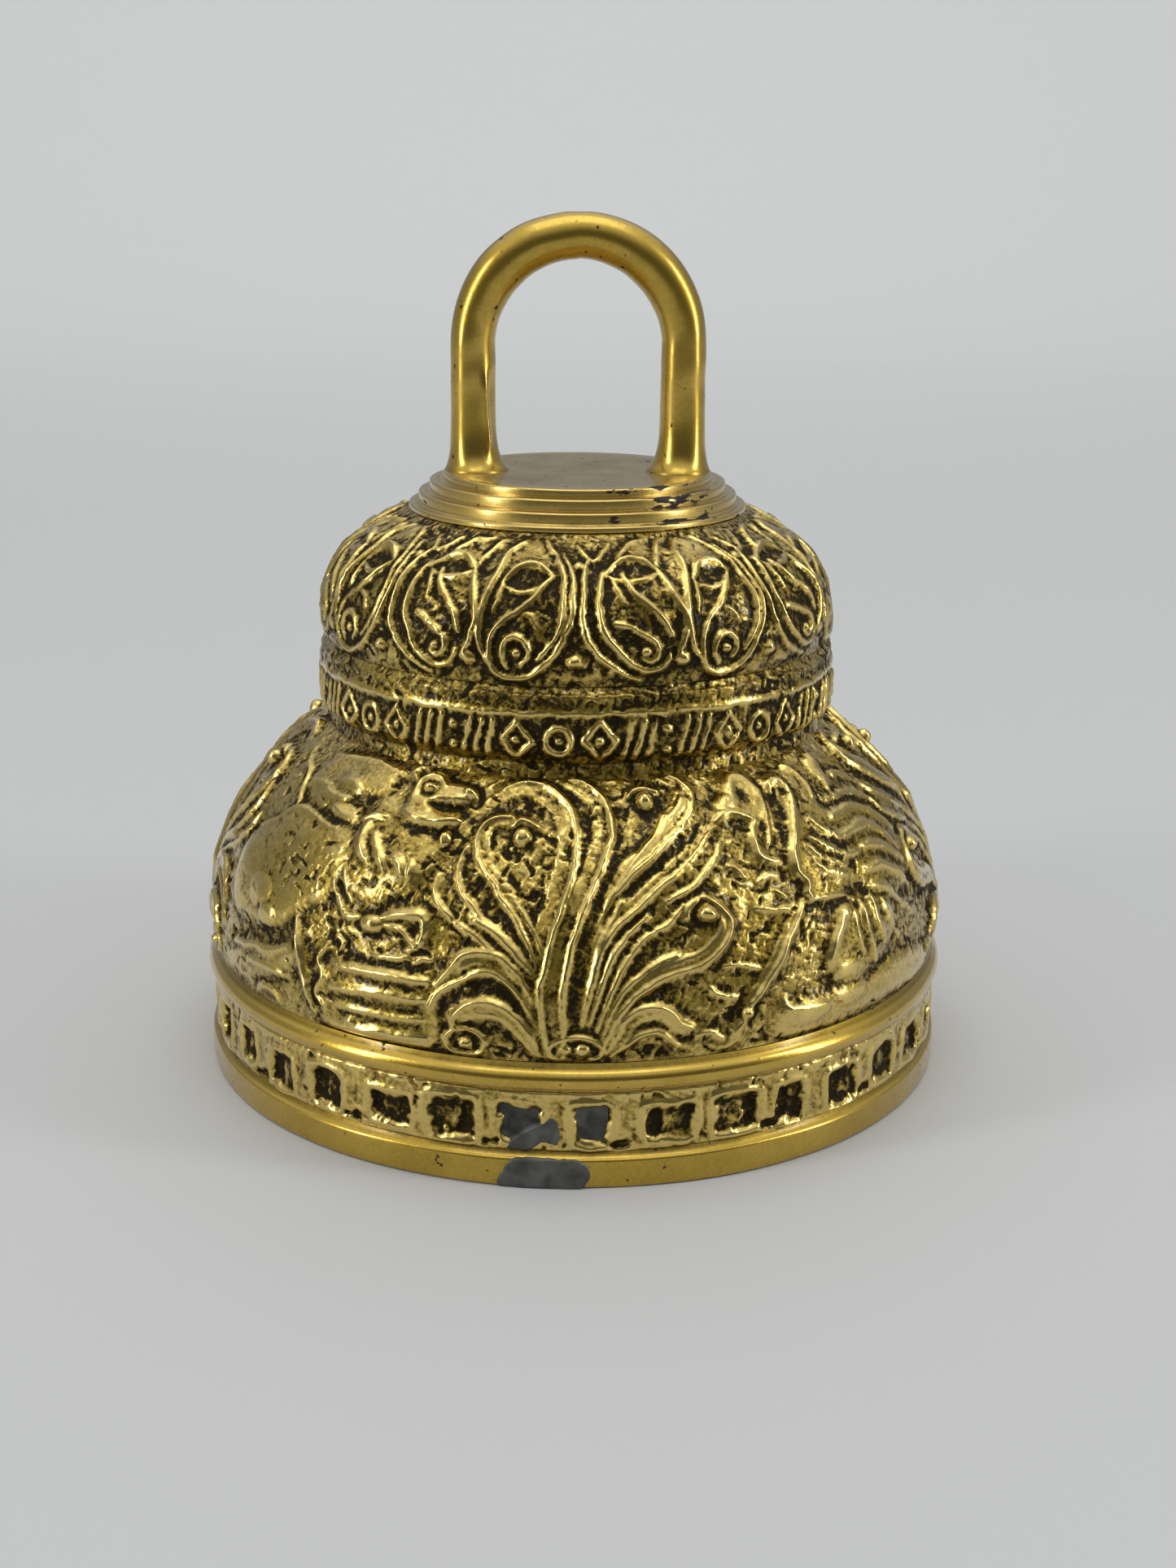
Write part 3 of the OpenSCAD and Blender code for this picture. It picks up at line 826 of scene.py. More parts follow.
# a hound-headed beast that faces right, with its paw on a stack of slabs
hound = {
    "wide": 1.35, "tall": 0.85, "taper": (0.6, 0.6),
    "fills": [
        ([(-33, 41), (-31.5, 36.6), (-27.5, 34), (-23.5, 32), (-21.6, 31.4), (-22.6, 28), (-24.6, 24),
          (-28, 21.6), (-33, 20.6), (-38, 21.6), (-40, 26), (-40, 32), (-38, 37)], 0.42, 3.4),
        ([(-68, 22), (-65, 25.4), (-61, 27.6), (-58, 30.4), (-53, 31), (-47, 30.4), (-41, 31), (-38, 27),
          (-38.5, 22), (-41, 18.4), (-45, 16.6), (-49, 12.6), (-54, 11.4), (-60, 11), (-66, 12)], 0.62, 4.2),
        ([(-37, 37.4), (-37.4, 41.4), (-44, 42.9), (-51, 42.4), (-58, 41.2), (-60, 37.6), (-57.4, 33.6),
          (-51, 31.8), (-45, 32.4), (-40.2, 32.6), (-43.4, 35), (-42, 36.6)], 0.5, 2.6),
        ([(-32.4, 36), (-32.2, 40.4), (-30.2, 42.8), (-27.2, 42.7), (-25, 41.2), (-21.6, 41.2), (-19.6, 40.6),
          (-19.4, 38.8), (-21.4, 38), (-25, 37.7), (-25.4, 36.8), (-21.6, 36.6), (-20, 35.8), (-20.6, 34.2),
          (-24.4, 33.6), (-28.6, 33.4), (-31.4, 34)], 0.75, 1.3),
        ([(-38, 0.4), (-37.4, 11), (-30, 11.4), (-20.4, 11.2), (-19.8, 0.4)], 0.38, 1.0),
        ([(-67, 3.4), (-60, 6.2), (-52, 8.6), (-45, 11), (-44, 8), (-50, 4.2), (-58, 1.8),
          (-66, 1)], 0.42, 1.8),
    ],
    "lines": [
        ([(-31.2, 38), (-31, 40.6), (-29.4, 42.3), (-27, 42), (-25.4, 40.4)], 1.2, 0.8),
        ([(-32.4, 41), (-34.6, 43), (-33, 43.8), (-30.6, 42.8)], 1.1, 0.8),
        ([(-25, 40.6), (-22.4, 40.7), (-20.4, 40.2)], 1.2, 0.7),
        ([(-26.6, 38.4), (-23.4, 38.6), (-20.4, 38.7)], 0.9, 0.7),
        ([(-31.4, 35.4), (-28.2, 34.4), (-24.6, 34.2), (-21, 35.2)], 1.5, 0.8),
        ([(-24.4, 37.9), (-24.2, 37.2)], 0.7, 0.8), ([(-22.6, 38.1), (-22.5, 37.3)], 0.7, 0.8),
        ([(-37.2, 32.4), (-37, 29.8), (-35.9, 27.7), (-34.5, 26.5)], 1.7, 1.1),
        ([(-34.9, 31), (-33.5, 29), (-32.1, 27.4), (-30.9, 25.8)], 1.6, 1.1),
        ([(-30.2, 28), (-28.6, 27.6), (-27.6, 25.4)], 1.4, 1.0),
        ([(-26.6, 27.6), (-26.3, 25.4)], 1.3, 0.9),
        ([(-40.2, 32.2), (-37.4, 33.8), (-34.8, 34)], 0.8, 0.7),
        ([(-47, 33), (-43.4, 32.2), (-40.4, 32.4)], 1.6, 0.75),
        ([(-49, 37.6), (-46, 37.8), (-43, 36.6)], 1.7, 0.6),
        ([(-59, 41), (-52, 42.3), (-45, 42.9), (-38, 42.2), (-33, 41.6)], 1.2, 0.65),
        ([(-52, 35.4), (-48, 34.6), (-44.4, 35)], 1.0, 0.5),
        ([(-65, 25.4), (-61, 27.4), (-58, 30.3), (-53.4, 31.1), (-48, 30.4), (-44, 30)], 1.1, 0.7),
        ([(-67, 38.8), (-61.6, 36.2), (-58.8, 33), (-57.4, 30.8)], 1.0, 0.9),
        ([(-45.4, 15.2), (-44, 12), (-42.5, 8.2), (-41.2, 4.8), (-40, 2)], 1.4, 1.35),
        ([(-39.6, 22.6), (-37.6, 19.6), (-35.4, 18), (-33.4, 18.2)], 1.0, 0.7),
        ([(-38.6, 25), (-37, 22), (-35.4, 20)], 0.8, 0.5),
        ([(-29.4, 18.9), (-26.6, 19.7), (-22.9, 20), (-22.4, 18.4), (-22.5, 16.3)], 1.5, 1.0),
        ([(-28.6, 17.8), (-26, 17.6), (-24.6, 16.6), (-22.9, 15.4), (-24.6, 14.9)], 0.8, 0.9),
        ([(-29.8, 13.2), (-26.6, 13.4), (-24, 13.8)], 0.8, 0.75),
        ([(-23.4, 13.2), (-21.8, 14), (-20.6, 14)], 0.8, 0.75),
        ([(-35.4, 10.4), (-29, 10.9), (-20.8, 10.9)], 1.2, 0.95),
        ([(-36.2, 6.9), (-30, 7.8), (-21.4, 8)], 1.5, 0.8),
        ([(-35, 4.4), (-29, 4.6), (-21, 4.9)], 1.0, 0.6),
        ([(-36.6, 1), (-29, 1.8), (-20.6, 2.2)], 1.6, 0.85),
        ([(-38.4, 13), (-39.8, 10.4), (-38.4, 8), (-39.6, 5.4), (-37.8, 3.4)], 0.9, 0.8),
        ([(-36.8, 14.8), (-35.2, 14), (-36, 12.8)], 0.9, 0.8),
        ([(-63, 6.2), (-56, 8), (-50.6, 8.8), (-46.6, 10.6)], 1.2, 0.7),
        ([(-57, 5.4), (-51, 6), (-45.4, 5.4)], 0.9, 0.55),
        ([(-54.4, 0.4), (-52.4, 2.2), (-49.6, 2.2), (-48, 0.4)], 0.9, 0.7),
        ([(-60, 33.4), (-56, 35.8), (-51.6, 36.2)], 0.8, 0.4),
    ],
    "knobs": [((-28.3, 39.8), 1.0, 0.8, 1.2), ((-20.2, 40.1), 1.0, 1.0, 1.25), ((-56, 17), 3.6, 2.6, 0.5),
              ((-52.4, 13.8), 2.4, 1.8, 0.7), ((-22.2, 32), 0.9, 1.4, 1.3), ((-30.8, 17.7), 2.2, 1.5, 1.2),
              ((-62, 18), 5, 6, 0.35), ((-32.5, 2.4), 1.2, 0.9, 0.9)],
    "cuts": [
        ([(-27.4, 37.3), (-25, 37.2), (-21.4, 37.3)], 1.0, 0.7),
        (ringPoints((-28.3, 39.8), 1.7, 1.3, 0.9), 0.8, 0.4),
        ([(-31, 33.4), (-26, 32.8), (-21, 33.2)], 0.9, 0.35),
        ([(-18.4, 38), (-18.2, 40.4), (-19.4, 42)], 0.8, 0.35),
        ([(-45, 27), (-40.6, 28.4)], 0.9, 0.3),
        ([(-54.6, 27), (-52, 26.4)], 1.0, 0.3),
        ([(-44.6, 34.4), (-43, 35.4)], 0.9, 0.3),
    ],
    "pitted": [((-47, 24), 8.5, 5.5), ((-38, 21), 4.5, 4), ((-34, 24), 4, 4), ((-28, 22.6), 3.4, 2.2),
               ((-36, 12.6), 3, 3), ((-57, 4), 5, 3)],
}

# a maned beast that faces left, with one foreleg straight out
griffin = {
    "wide": 1.35, "tall": 0.85, "taper": (0.6, 0.6),
    "fills": [
        ([(38.4, 41), (43, 41.4), (47.4, 42.8), (49.8, 40), (49.6, 35), (53, 32.8), (59, 32), (66, 28),
          (68, 20), (62, 16), (55, 17), (50, 19.8), (44, 19.4), (37.6, 20.4), (37.8, 24), (36.6, 27),
          (38.4, 31), (39.6, 36)], 0.5, 3.2),
        ([(29, 41.6), (32.4, 43.6), (36.4, 42), (37.6, 38.6), (35.6, 34.8), (33.4, 33.2), (31.4, 34.6),
          (28.4, 35.6), (24.8, 34.9), (26, 37.6), (28, 39.6)], 0.42, 1.8),
        ([(44.8, 18.4), (42.4, 15.6), (40, 12.6), (39.6, 9), (42, 6.6), (48, 6.6), (54, 9), (58, 14),
          (55, 18), (50, 19)], 0.5, 3.4),
        ([(29.6, 5.6), (34, 6.2), (42, 6), (52, 7), (62, 6.4), (68, 4), (68, 0.6), (50, 0.8), (31, 0.6)],
         0.55, 2.6),
    ],
    "lines": [
        ([(30.4, 36.6), (30.5, 39.4), (32.2, 41.8), (34.8, 41.8), (36.4, 39.8), (36.4, 37), (35, 34.8)],
         1.7, 0.55),
        ([(25, 34.9), (27.4, 35.7), (29.8, 35.5), (31.6, 34.8), (33.4, 33.7)], 1.5, 0.95),
        ([(32.9, 34), (31.4, 32), (31, 30), (31.7, 28), (33, 27), (34.4, 27)], 1.5, 1.1),
        ([(30.8, 33.4), (30.2, 31), (30.6, 28.6)], 0.8, 0.5),
        ([(36.9, 38), (35.8, 34.4), (34.6, 31.4), (33.5, 29.6)], 0.8, 0.7),
        ([(37.8, 37.4), (36.8, 34), (35.6, 31)], 0.7, 0.45),
        ([(43.4, 38.6), (42.6, 35.8), (40.6, 32.8), (38.6, 29.8), (37.2, 27.2), (37.2, 25), (38.2, 23.2),
          (37.6, 21.6), (38.2, 20.4)], 1.4, 1.0),
        ([(38.8, 39), (41, 39.9), (43.6, 38.6)], 1.5, 0.7),
        ([(36.7, 20.2), (40, 20.1), (44, 19.7), (47, 18.6)], 0.8, 0.6),
        ([(36.4, 20), (33.4, 16.4), (29.6, 11.7), (25.4, 6.8)], 1.5, 1.3, -1.6),
        ([(24.4, 4.6), (23.2, 2.8), (22, 1)], 1.5, 0.9),
        ([(44.6, 17.6), (42.5, 15.2), (40.6, 12.4), (39.7, 9.8)], 1.5, 1.0),
        ([(30.8, 6.4), (31.8, 5), (35, 4.7), (39, 4.4)], 1.5, 0.6),
        ([(44.3, 32.2), (45.6, 30.4), (47.2, 28.9), (49.4, 28), (52.6, 28.4), (57, 28)], 1.3, 0.8),
        ([(42.8, 29.4), (44.4, 27.6), (46.4, 26.2), (49, 25), (51.6, 24.7)], 1.1, 0.8),
        ([(41, 28.2), (42.4, 26.5), (44.4, 24.8), (47, 23.6)], 1.1, 0.75),
        ([(41.6, 25), (43.6, 23.4), (46.6, 22.2)], 0.9, 0.6),
        ([(50, 31.4), (53, 31.9), (57, 31.6), (60, 30.2), (63, 27.9), (66.4, 25.2)], 1.5, 0.75),
        ([(51, 34.4), (55, 34.2), (59, 34), (63, 32.6), (67, 29.8)], 1.5, 0.6),
        ([(54, 29), (57.6, 28.2), (61, 25.6), (64.6, 22)], 1.4, 0.7),
        ([(53.6, 25.2), (57, 24.9), (60.6, 23.2), (64.4, 20)], 1.4, 0.7),
        ([(52, 22), (56, 21.4), (60, 19.4), (65, 15.6)], 1.4, 0.7),
        ([(51, 19.6), (55, 18.2), (59.6, 15), (64, 11.4)], 1.3, 0.6),
        ([(57, 37.6), (61, 37.4), (65, 35)], 1.4, 0.55),
        ([(48.4, 17.6), (48, 14.4), (48.8, 10.8), (49.8, 8.2)], 1.0, 0.75),
        ([(51, 17.6), (51.4, 13.6), (53, 10)], 1.0, 0.7),
        ([(46.4, 16.8), (45.8, 13.6), (46.8, 10.4)], 0.8, 0.5),
        ([(54, 16.6), (55.4, 12.8), (58, 9.6)], 1.0, 0.55),
        ([(46.8, 42), (48.7, 40.4), (49.3, 37.8), (48.4, 35.2)], 1.1, 0.7),
        ([(57.4, 42.6), (55.8, 40), (55.2, 37.4), (54.8, 35.8)], 2.6, 0.9),
        ([(29.4, 24.7), (31.2, 25.3), (33.6, 25)], 0.8, 0.75),
        ([(28, 20.9), (30.4, 20.3), (33.4, 19.8), (35, 20.4)], 0.9, 0.8),
        ([(25, 27.8), (26.2, 27.6), (27.3, 26.2)], 0.7, 0.65),
        ([(21.6, 13.2), (24, 13), (27.4, 11.8)], 0.8, 0.6),
        ([(19.6, 10.4), (20.6, 9), (23.4, 8.4)], 0.7, 0.6),
        ([(32.4, 23), (33.8, 21.6)], 0.7, 0.55),
    ],
    "knobs": [((55.2, 39.2), 1.6, 3.2, 0.8), ((25, 5.6), 1.0, 1.0, 1.2), ((44, 17), 1.6, 1.3, 0.7),
              ((28.8, 37.6), 2.4, 1.8, 0.45), ((43.4, 6.6), 4, 3.4, 0.3), ((35, 3.8), 4.4, 1.5, 0.45)],
    "cuts": [
        ([(32.4, 39.8), (33.2, 37.6)], 2.4, 0.4),
        ([(45, 31.6), (47.6, 29.4)], 0.7, 0.25),
        ([(46.4, 17), (48.8, 17.6), (50.6, 17)], 1.4, 0.3),
        ([(37.9, 42), (38, 39.4), (37.2, 36)], 0.7, 0.25),
    ],
    "pitted": [((45, 26), 4.6, 6), ((43, 37), 4.2, 3.6), ((49.6, 22), 3, 4), ((50, 12), 3.2, 3.6),
               ((33, 38.5), 2, 3), ((30, 24), 2.6, 2.6)],
}


def makeSkirt(s):
    profile = arcPoints(*s["center"], s["radius"], s["from"], s["to"], 60)
    sheet = startRelief(profile, s["spacing"], 11)
    for turn, flip in ((0, 1), (90, -1), (180, 1), (270, -1)):
        drawFigure(sheet, vine, turn, flip)
    for turn in (0, 180):
        drawFigure(sheet, hound, turn)
        drawFigure(sheet, griffin, turn)
    finishRelief(sheet, s["cast"])
    quarter = sheet["columns"] // 4
    for i, side in enumerate(("Front", "Right", "Back", "Left")):
        shellPiece("skirt" + side, sheet, s["depth"], castBrass, i * quarter - quarter // 2, quarter)


makeSkirt(skirt)
print("skirt cast")


# ---- dome

dome = {
    "center": (41.8 - 15, 75.0), "radius": 15.0, "from": -14, "to": 59, "repeats": 8, "turn": 0.7,
    "drawnSpan": 48, "shift": 0.75,      # the pair is drawn this many degrees wide, and so far left of its middle
    "spacing": 0.28, "depth": 2.2,
    "cast": {"soften": 0.15, "crest": 0.95, "swell": 0.60, "bulk": 1.45, "rough": 0.16, "wave": 0.09, "pits": 0.24,
             "edge": 0.8, "dark": 0.20, "ground": 0.22, "seed": 31},
}

# a pair of scrolls that repeats round the dome
scrolls = {
    "wide": 1.0, "tall": 1.0, "taper": (0.6, 0.6),
    "lines": [
        ([(-17, 25), (-20.6, 22), (-21, 18), (-22.6, 14), (-23.5, 10), (-23, 6), (-21, 3.4)], 1.2, 1.0),
        ([(-11, 25.4), (-8, 22.6), (-5.6, 19), (-4.5, 15.4), (-4.2, 12), (-5.2, 8.8), (-7.4, 6),
          (-9.6, 4.4)], 1.1, 1.0),
        ([(-5.6, 22.6), (-3.2, 18.6), (-2.3, 14), (-3, 9.8), (-5.4, 6), (-9, 3), (-13, 1.5), (-17, 1.4),
          (-20, 2.6),
          (-20.8, 5), (-20, 8), (-17.6, 10.2), (-15, 11.2)], 1.0, 0.95),
        ([(-15.2, 11.2), (-12.6, 13), (-10, 15.4), (-8, 16.9)], 1.1, 0.95),
        ([(-20, 16), (-16.4, 18.7), (-12, 19.1), (-7.6, 17.2)], 1.0, 0.9),
        ([(-19.6, 15.6), (-16, 14.4), (-11.6, 14.9), (-7.8, 16.8)], 0.8, 0.7),
        ([(-16.8, 2.8), (-18, 4.6), (-17, 6.7), (-14.8, 7.4), (-12.6, 6.6), (-11.8, 4.8),
          (-13.4, 3.4)], 1.0, 1.0),
        ([(-19.6, 16.6), (-19.8, 13.6), (-20.6, 11)], 0.9, 0.7),
        ([(-10, 8.6), (-11.4, 10.4), (-13.6, 11)], 0.8, 0.6),
        ([(1.6, 21), (0.2, 17.6), (-0.2, 13.6), (0.2, 10), (1.8, 6.6), (4.8, 4), (8.6, 2.2),
          (12.6, 1.2)], 1.0, 0.95),
        ([(5, 18.4), (4, 15), (3.9, 12), (4.9, 8.8), (7, 6), (10, 3.8), (13.6, 2.6), (17.4, 3),
          (19.4, 5)], 1.0, 0.95),
        ([(5.6, 17.8), (10, 20.2), (15, 20.5), (19.8, 18)], 1.1, 0.95),
        ([(5.8, 17.4), (10, 16.2), (15, 16.3), (19.6, 17.6)], 0.8, 0.7),
        ([(9.8, 17.6), (11, 15.2), (13, 13.4), (15.8, 11.8), (18.2, 9.8), (19.8, 7.6)], 1.2, 1.0),
        ([(7.4, 9.7), (10, 9.2), (13.2, 8.1), (15.8, 6.9), (16.4, 5.2), (14.6, 3.9), (12.4, 4.6)], 1.1, 1.0),
        ([(19.8, 18), (21, 15.2), (22.6, 12.2), (23.6, 10), (22.6, 7), (20.6, 4.2)], 1.2, 1.0),
        ([(9.4, 19.6), (10.8, 22), (14, 24.2), (19.4, 25.4)], 1.0, 0.8),
        ([(20, 19), (21.6, 22.4), (24, 24.8)], 1.0, 0.75),
        ([(7.2, 16.8), (8.4, 14.4), (9.6, 12.4)], 0.9, 0.6),
        ([(-1.6, 24.6), (0.6, 22.4), (3, 20.8), (5.8, 22.6), (8, 25)], 0.9, 0.6),
    ],
    "fills": [
        ([(-20.6, 18.2), (-20.4, 22), (-17.6, 25), (-12, 25.2), (-8.6, 22.2), (-6.8, 18.2),
          (-13, 17.4)], 0.52, 2.0),
        ([(-25, 25), (-25.4, 18), (-26.6, 12), (-24, 9), (-22.4, 13), (-20.8, 18), (-20.8, 22)], 0.34, 1.6),
        ([(9.6, 19), (10.6, 22), (14, 24), (19, 25), (20, 22), (19.6, 18.6)], 0.36, 1.6),
        ([(10.2, 17.6), (11.4, 15.4), (16, 12), (19.6, 8.6), (22.4, 11), (19.6, 17.6)], 0.22, 1.2),
        ([(-2, 8), (-4, 4), (-9, 1.6), (8, 1.4), (3, 4.6), (0.4, 9)], 0.2, 1.4),
    ],
    "knobs": [((-14.6, 5), 0.8, 0.7, 1.0), ((13.6, 5.4), 0.8, 0.7, 0.9), ((-2, 4), 1.2, 0.9, 0.9),
                          ((-25.6, 4.2), 1.3, 1.0, 0.8), ((-1, 19.6), 0.8, 1.0, 0.7)],
    "pitted": [((-15, 7), 3.0, 3.6), ((-1.4, 6), 2.2, 5), ((12, 7), 2.6, 3.2), ((-24.8, 6), 1.4, 4)],
}


def makeDome(s):
    profile = arcPoints(*s["center"], s["radius"], s["from"], s["to"], 40) + [(plateR - 0.2, crownZ)]
    sheet = startRelief(profile, s["spacing"], 31)
    span = 360 / s["repeats"]
    for i in range(s["repeats"]):
        drawFigure(sheet, scrolls, i * span + s["turn"], span / s["drawnSpan"], s["shift"])
    finishRelief(sheet, s["cast"])
    shellPiece("domeShell", sheet, s["depth"], castBrass)


makeDome(dome)
print("dome cast")


# ---- neck with the upper ornament band

neck = {
    "radius": 42.4, "low": 61.0, "high": 70.6, "spacing": 0.225, "depth": 2.2, "repeats": 8,
    "cast": {"soften": 0.16, "crest": 0.9, "swell": 0.4, "bulk": 1.0, "rough": 0.15, "wave": 0.08, "pits": 0.24,
             "edge": 0.6, "dark": 0.18, "ground": 0.34, "seed": 51},
}


def makeNeck(s):
    c = skirt["center"]
    a = skirt["to"] * deg
    foot = (c[0] + skirt["radius"] * math.cos(a), c[1] + skirt["radius"] * math.sin(a))
    r = s["radius"]
    profile = [(foot[0] + 0.5, foot[1] - 0.9), (r - 1.5, s["low"] - 1.6)]
    profile += arcPoints(r - 0.8, s["low"] + 0.8, 0.8, -70, 0, 6)
    profile += arcPoints(r - 0.6, s["high"] - 0.6, 0.6, 0, 80, 6)
    a = dome["from"] * deg
    profile.append((dome["center"][0] + dome["radius"] * math.cos(a) - 0.3,
                    dome["center"][1] + dome["radius"] * math.sin(a) + 0.4))
    sheet = startRelief(profile, s["spacing"], 51)
    base = 3.6                      # where the band's face starts, up the sheet
    middle = base + 3.7
    perDegree = r * deg
    span = 360 / s["repeats"]
    rng = np.random.default_rng(17)
    for i in range(s["repeats"]):
        at = i * span - 3.5
        drawLine(sheet, ringPoints((at, middle), 2.0, 2.2, perDegree), 1.0, 0.8, taper=(1, 1))
        raiseKnob(sheet, (at, middle), (0.7, 0.7), 0.6)
        for side in (-1, 1):
            x = at + side * 8.4
            corners = [(x - 3.2, middle), (x, middle + 3), (x + 3.2, middle), (x, middle - 3), (x - 3.2, middle)]
            for a0, b0 in zip(corners, corners[1:]):
                drawLine(sheet, [a0, b0], 0.95, rng.uniform(0.6, 0.85), taper=(1, 1))
            raiseKnob(sheet, (x, middle), (0.7, 0.8), 0.6)
            for bar in (14.0, 16.6, 19.2):
                x = at + side * bar
                drawLine(sheet, [(x - 0.9, middle - rng.uniform(2.6, 3.2)), (x + 0.9, middle + 3)], 0.95,
                         rng.uniform(0.55, 0.85), taper=(1, 1))
        raiseKnob(sheet, (at + span / 2, middle + 1.6), (0.7, 0.7), 0.6)
        raiseKnob(sheet, (at + span / 2, middle - 1.6), (0.7, 0.7), 0.6)
        for k in range(5):
            raiseKnob(sheet, (at + rng.uniform(0, span), middle + rng.uniform(-3, 3)),
                      (rng.uniform(0.8, 2.2), rng.uniform(0.6, 1.2)), rng.uniform(0.2, 0.5), layer="mass")
    for i in range(24):             # a plain strip along the top of the band
        drawLine(sheet, [(i * 15, base + 7.9), (i * 15 + 15, base + 7.9)], 1.5, 0.5, taper=(1, 1))
    finishRelief(sheet, s["cast"])
    shellPiece("neckBand", sheet, s["depth"], castBrass)


makeNeck(neck)
print("neck cast")


# ---- frieze above the lip

frieze = {
    "spacing": 0.215, "depth": 2.2, "repeats": 36, "plain": 0.32,
    "cast": {"soften": 0.24, "crest": 0.9, "swell": 0.35, "bulk": 1.0, "rough": 0.14, "wave": 0.12, "pits": 0.26,
             "edge": 0.5, "dark": 0.13, "ground": 0.10, "seed": 71},
}


def makeFrieze(s):
    sheet = startRelief([(friezeR, 5.4), (friezeR, 15.4)], s["spacing"], 71)
    rng = np.random.default_rng(9)
    span = 360 / s["repeats"]
    sheet["mass"] += s["plain"]
    for i in range(s["repeats"]):
        left = i * span + rng.uniform(-0.5, 0.5)
        right = left + rng.uniform(3.6, 6.8)
        low, high = rng.uniform(1.0, 2.4), rng.uniform(6.4, 7.6)
        deepEnd = left if i % 4 != 2 else right - 2.4
        worn = rng.uniform(0.5, 1.0)
        cutBox(sheet, left, right, low, high, rng.uniform(0.45, 0.7), 1.1)      # a window with a rough floor
        cutBox(sheet, deepEnd, deepEnd + rng.uniform(1.8, 2.6), low + 0.3, high - 0.3, rng.uniform(0.9, 1.2), 0.8)
        if i % 2 == 0:
            cutBox(sheet, right + 0.6, right + 3.6, 0.8, rng.uniform(1.8, 2.8), rng.uniform(0.5, 0.8), 0.9)
        for rim in ([(left - 0.8, low), (left - 0.9, high), (left + 0.6, high + 0.8), (right - 0.4, high + 0.8)],
                    [(right + 0.4, high + 0.5), (right + 0.8, 4.4), (right + 0.4, low - 0.2)],
                    [(left, low - 0.8), ((left + right) / 2, low - 1.0), (right, low - 0.7)]):
            drawLine(sheet, rim, 1.2, 0.62 * worn, taper=(0.7, 0.7))
        raiseKnob(sheet, (left - 1.8, rng.uniform(2.6, 5.4)), (1.0, 0.8), rng.uniform(0.1, 0.45))
        raiseKnob(sheet, ((left + right) / 2, 4), (3.0, 2.6), rng.uniform(0.2, 1), layer="pitted")
    finishRelief(sheet, s["cast"])
    shellPiece("friezeBand", sheet, s["depth"], castBrass)


makeFrieze(frieze)
print("frieze cast")


# ---- turned pieces: a closed profile is spun round the axis, then made uneven by hand

def spinPiece(name, profile, steps, material, uneven=0.0, seed=1, dark=(), base=0.25):
    # dark places are (r, z, reach, strength)
    obj = spun(name, [(r * mm, z * mm) for r, z in profile], steps, 1e-6, True)
    bpy.ops.object.shade_smooth_by_angle(angle=40 * deg)
    mesh = obj.data
    points = readPoints(mesh)
    away = np.hypot(points[:, 0], points[:, 1])
    turn = np.arctan2(points[:, 0], -points[:, 1])
    rng = np.random.default_rng(seed)
    wave = np.zeros(len(points))
    for waves in range(2, 26):
        size = rng.normal() / waves ** 0.8
        wave += size * np.cos(waves * turn + rng.random() * 7 + 300 * points[:, 2] * rng.random())
    scale = 1 + uneven * mm * wave / np.maximum(away, 2 * mm)
    points[:, 0] *= scale
    points[:, 1] *= scale
    mesh.vertices.foreach_set("co", points.reshape(-1))
    shade = np.full(len(points), base)
    for r, z, reach, strength in dark:
        near = np.hypot(away / mm - r, points[:, 2] / mm - z)
        shade = np.maximum(shade, strength * np.exp(-(near / reach) ** 2))
    setPatina(mesh, shade)
    mesh.materials.append(material)
    return obj


lip = {"height": 4.8, "edge": 0.6, "wallIn": 57.7, "steps": 360}
bead = {"z": 17.1, "radius": 1.9, "steps": 420}


def makeLip(s):
    e = s["edge"]
    top, inside = s["height"], s["wallIn"]
    profile = [(inside - 0.7, 7.0), (inside - 0.2, 0.5)] + arcPoints(inside + 0.6, 0.6, 0.6, 200, 270, 5)
    profile += arcPoints(mouthR - e, e, e, -90, 0, 6)
    profile += [(mouthR, 1.6), (mouthR, 2.6), (mouthR, 3.6)]
    profile += arcPoints(mouthR - e, top - e, e, 0, 75, 6)
    profile += [(friezeR + 0.3, top + 0.5), (friezeR - 0.1, top + 1.2), (friezeR - 1.4, top + 2.0)]
    dark = [(friezeR + 0.2, top + 0.9, 0.7, 0.85)]
    ring = spinPiece("lipRing", profile, s["steps"], turnedBrass, 0.05, 3, dark, 0.30)
    belongs(ring, "bell", "bell_body")


def makeBead(s):
    x = friezeR - 0.5
    profile = [(x - 1.6, s["z"] - 1.2), (friezeR - 0.2, s["z"] - 2.2), (friezeR + 0.25, s["z"] - 1.95)]
    profile += arcPoints(x, s["z"], s["radius"], -55, 55, 18)
    profile += [(friezeR + 0.25, s["z"] + 1.95), (friezeR - 0.2, s["z"] + 2.6), (x - 1.6, s["z"] + 1.4)]
    dark = [(friezeR + 0.2, s["z"] - 2.1, 0.6, 0.8), (friezeR + 0.2, s["z"] + 2.3, 0.7, 0.8)]
    ring = spinPiece("beadRing", profile, s["steps"], turnedBrass, 0.07, 5, dark, 0.2)
    belongs(ring, "bell", "bell_body")


makeLip(lip)
makeBead(bead)
print("lip and bead turned")


# ---- inside of the shell

inner = {"wall": 4.2, "ceiling": crownZ - 4.1, "hole": 3.2, "steps": 160, "skin": 1.0}


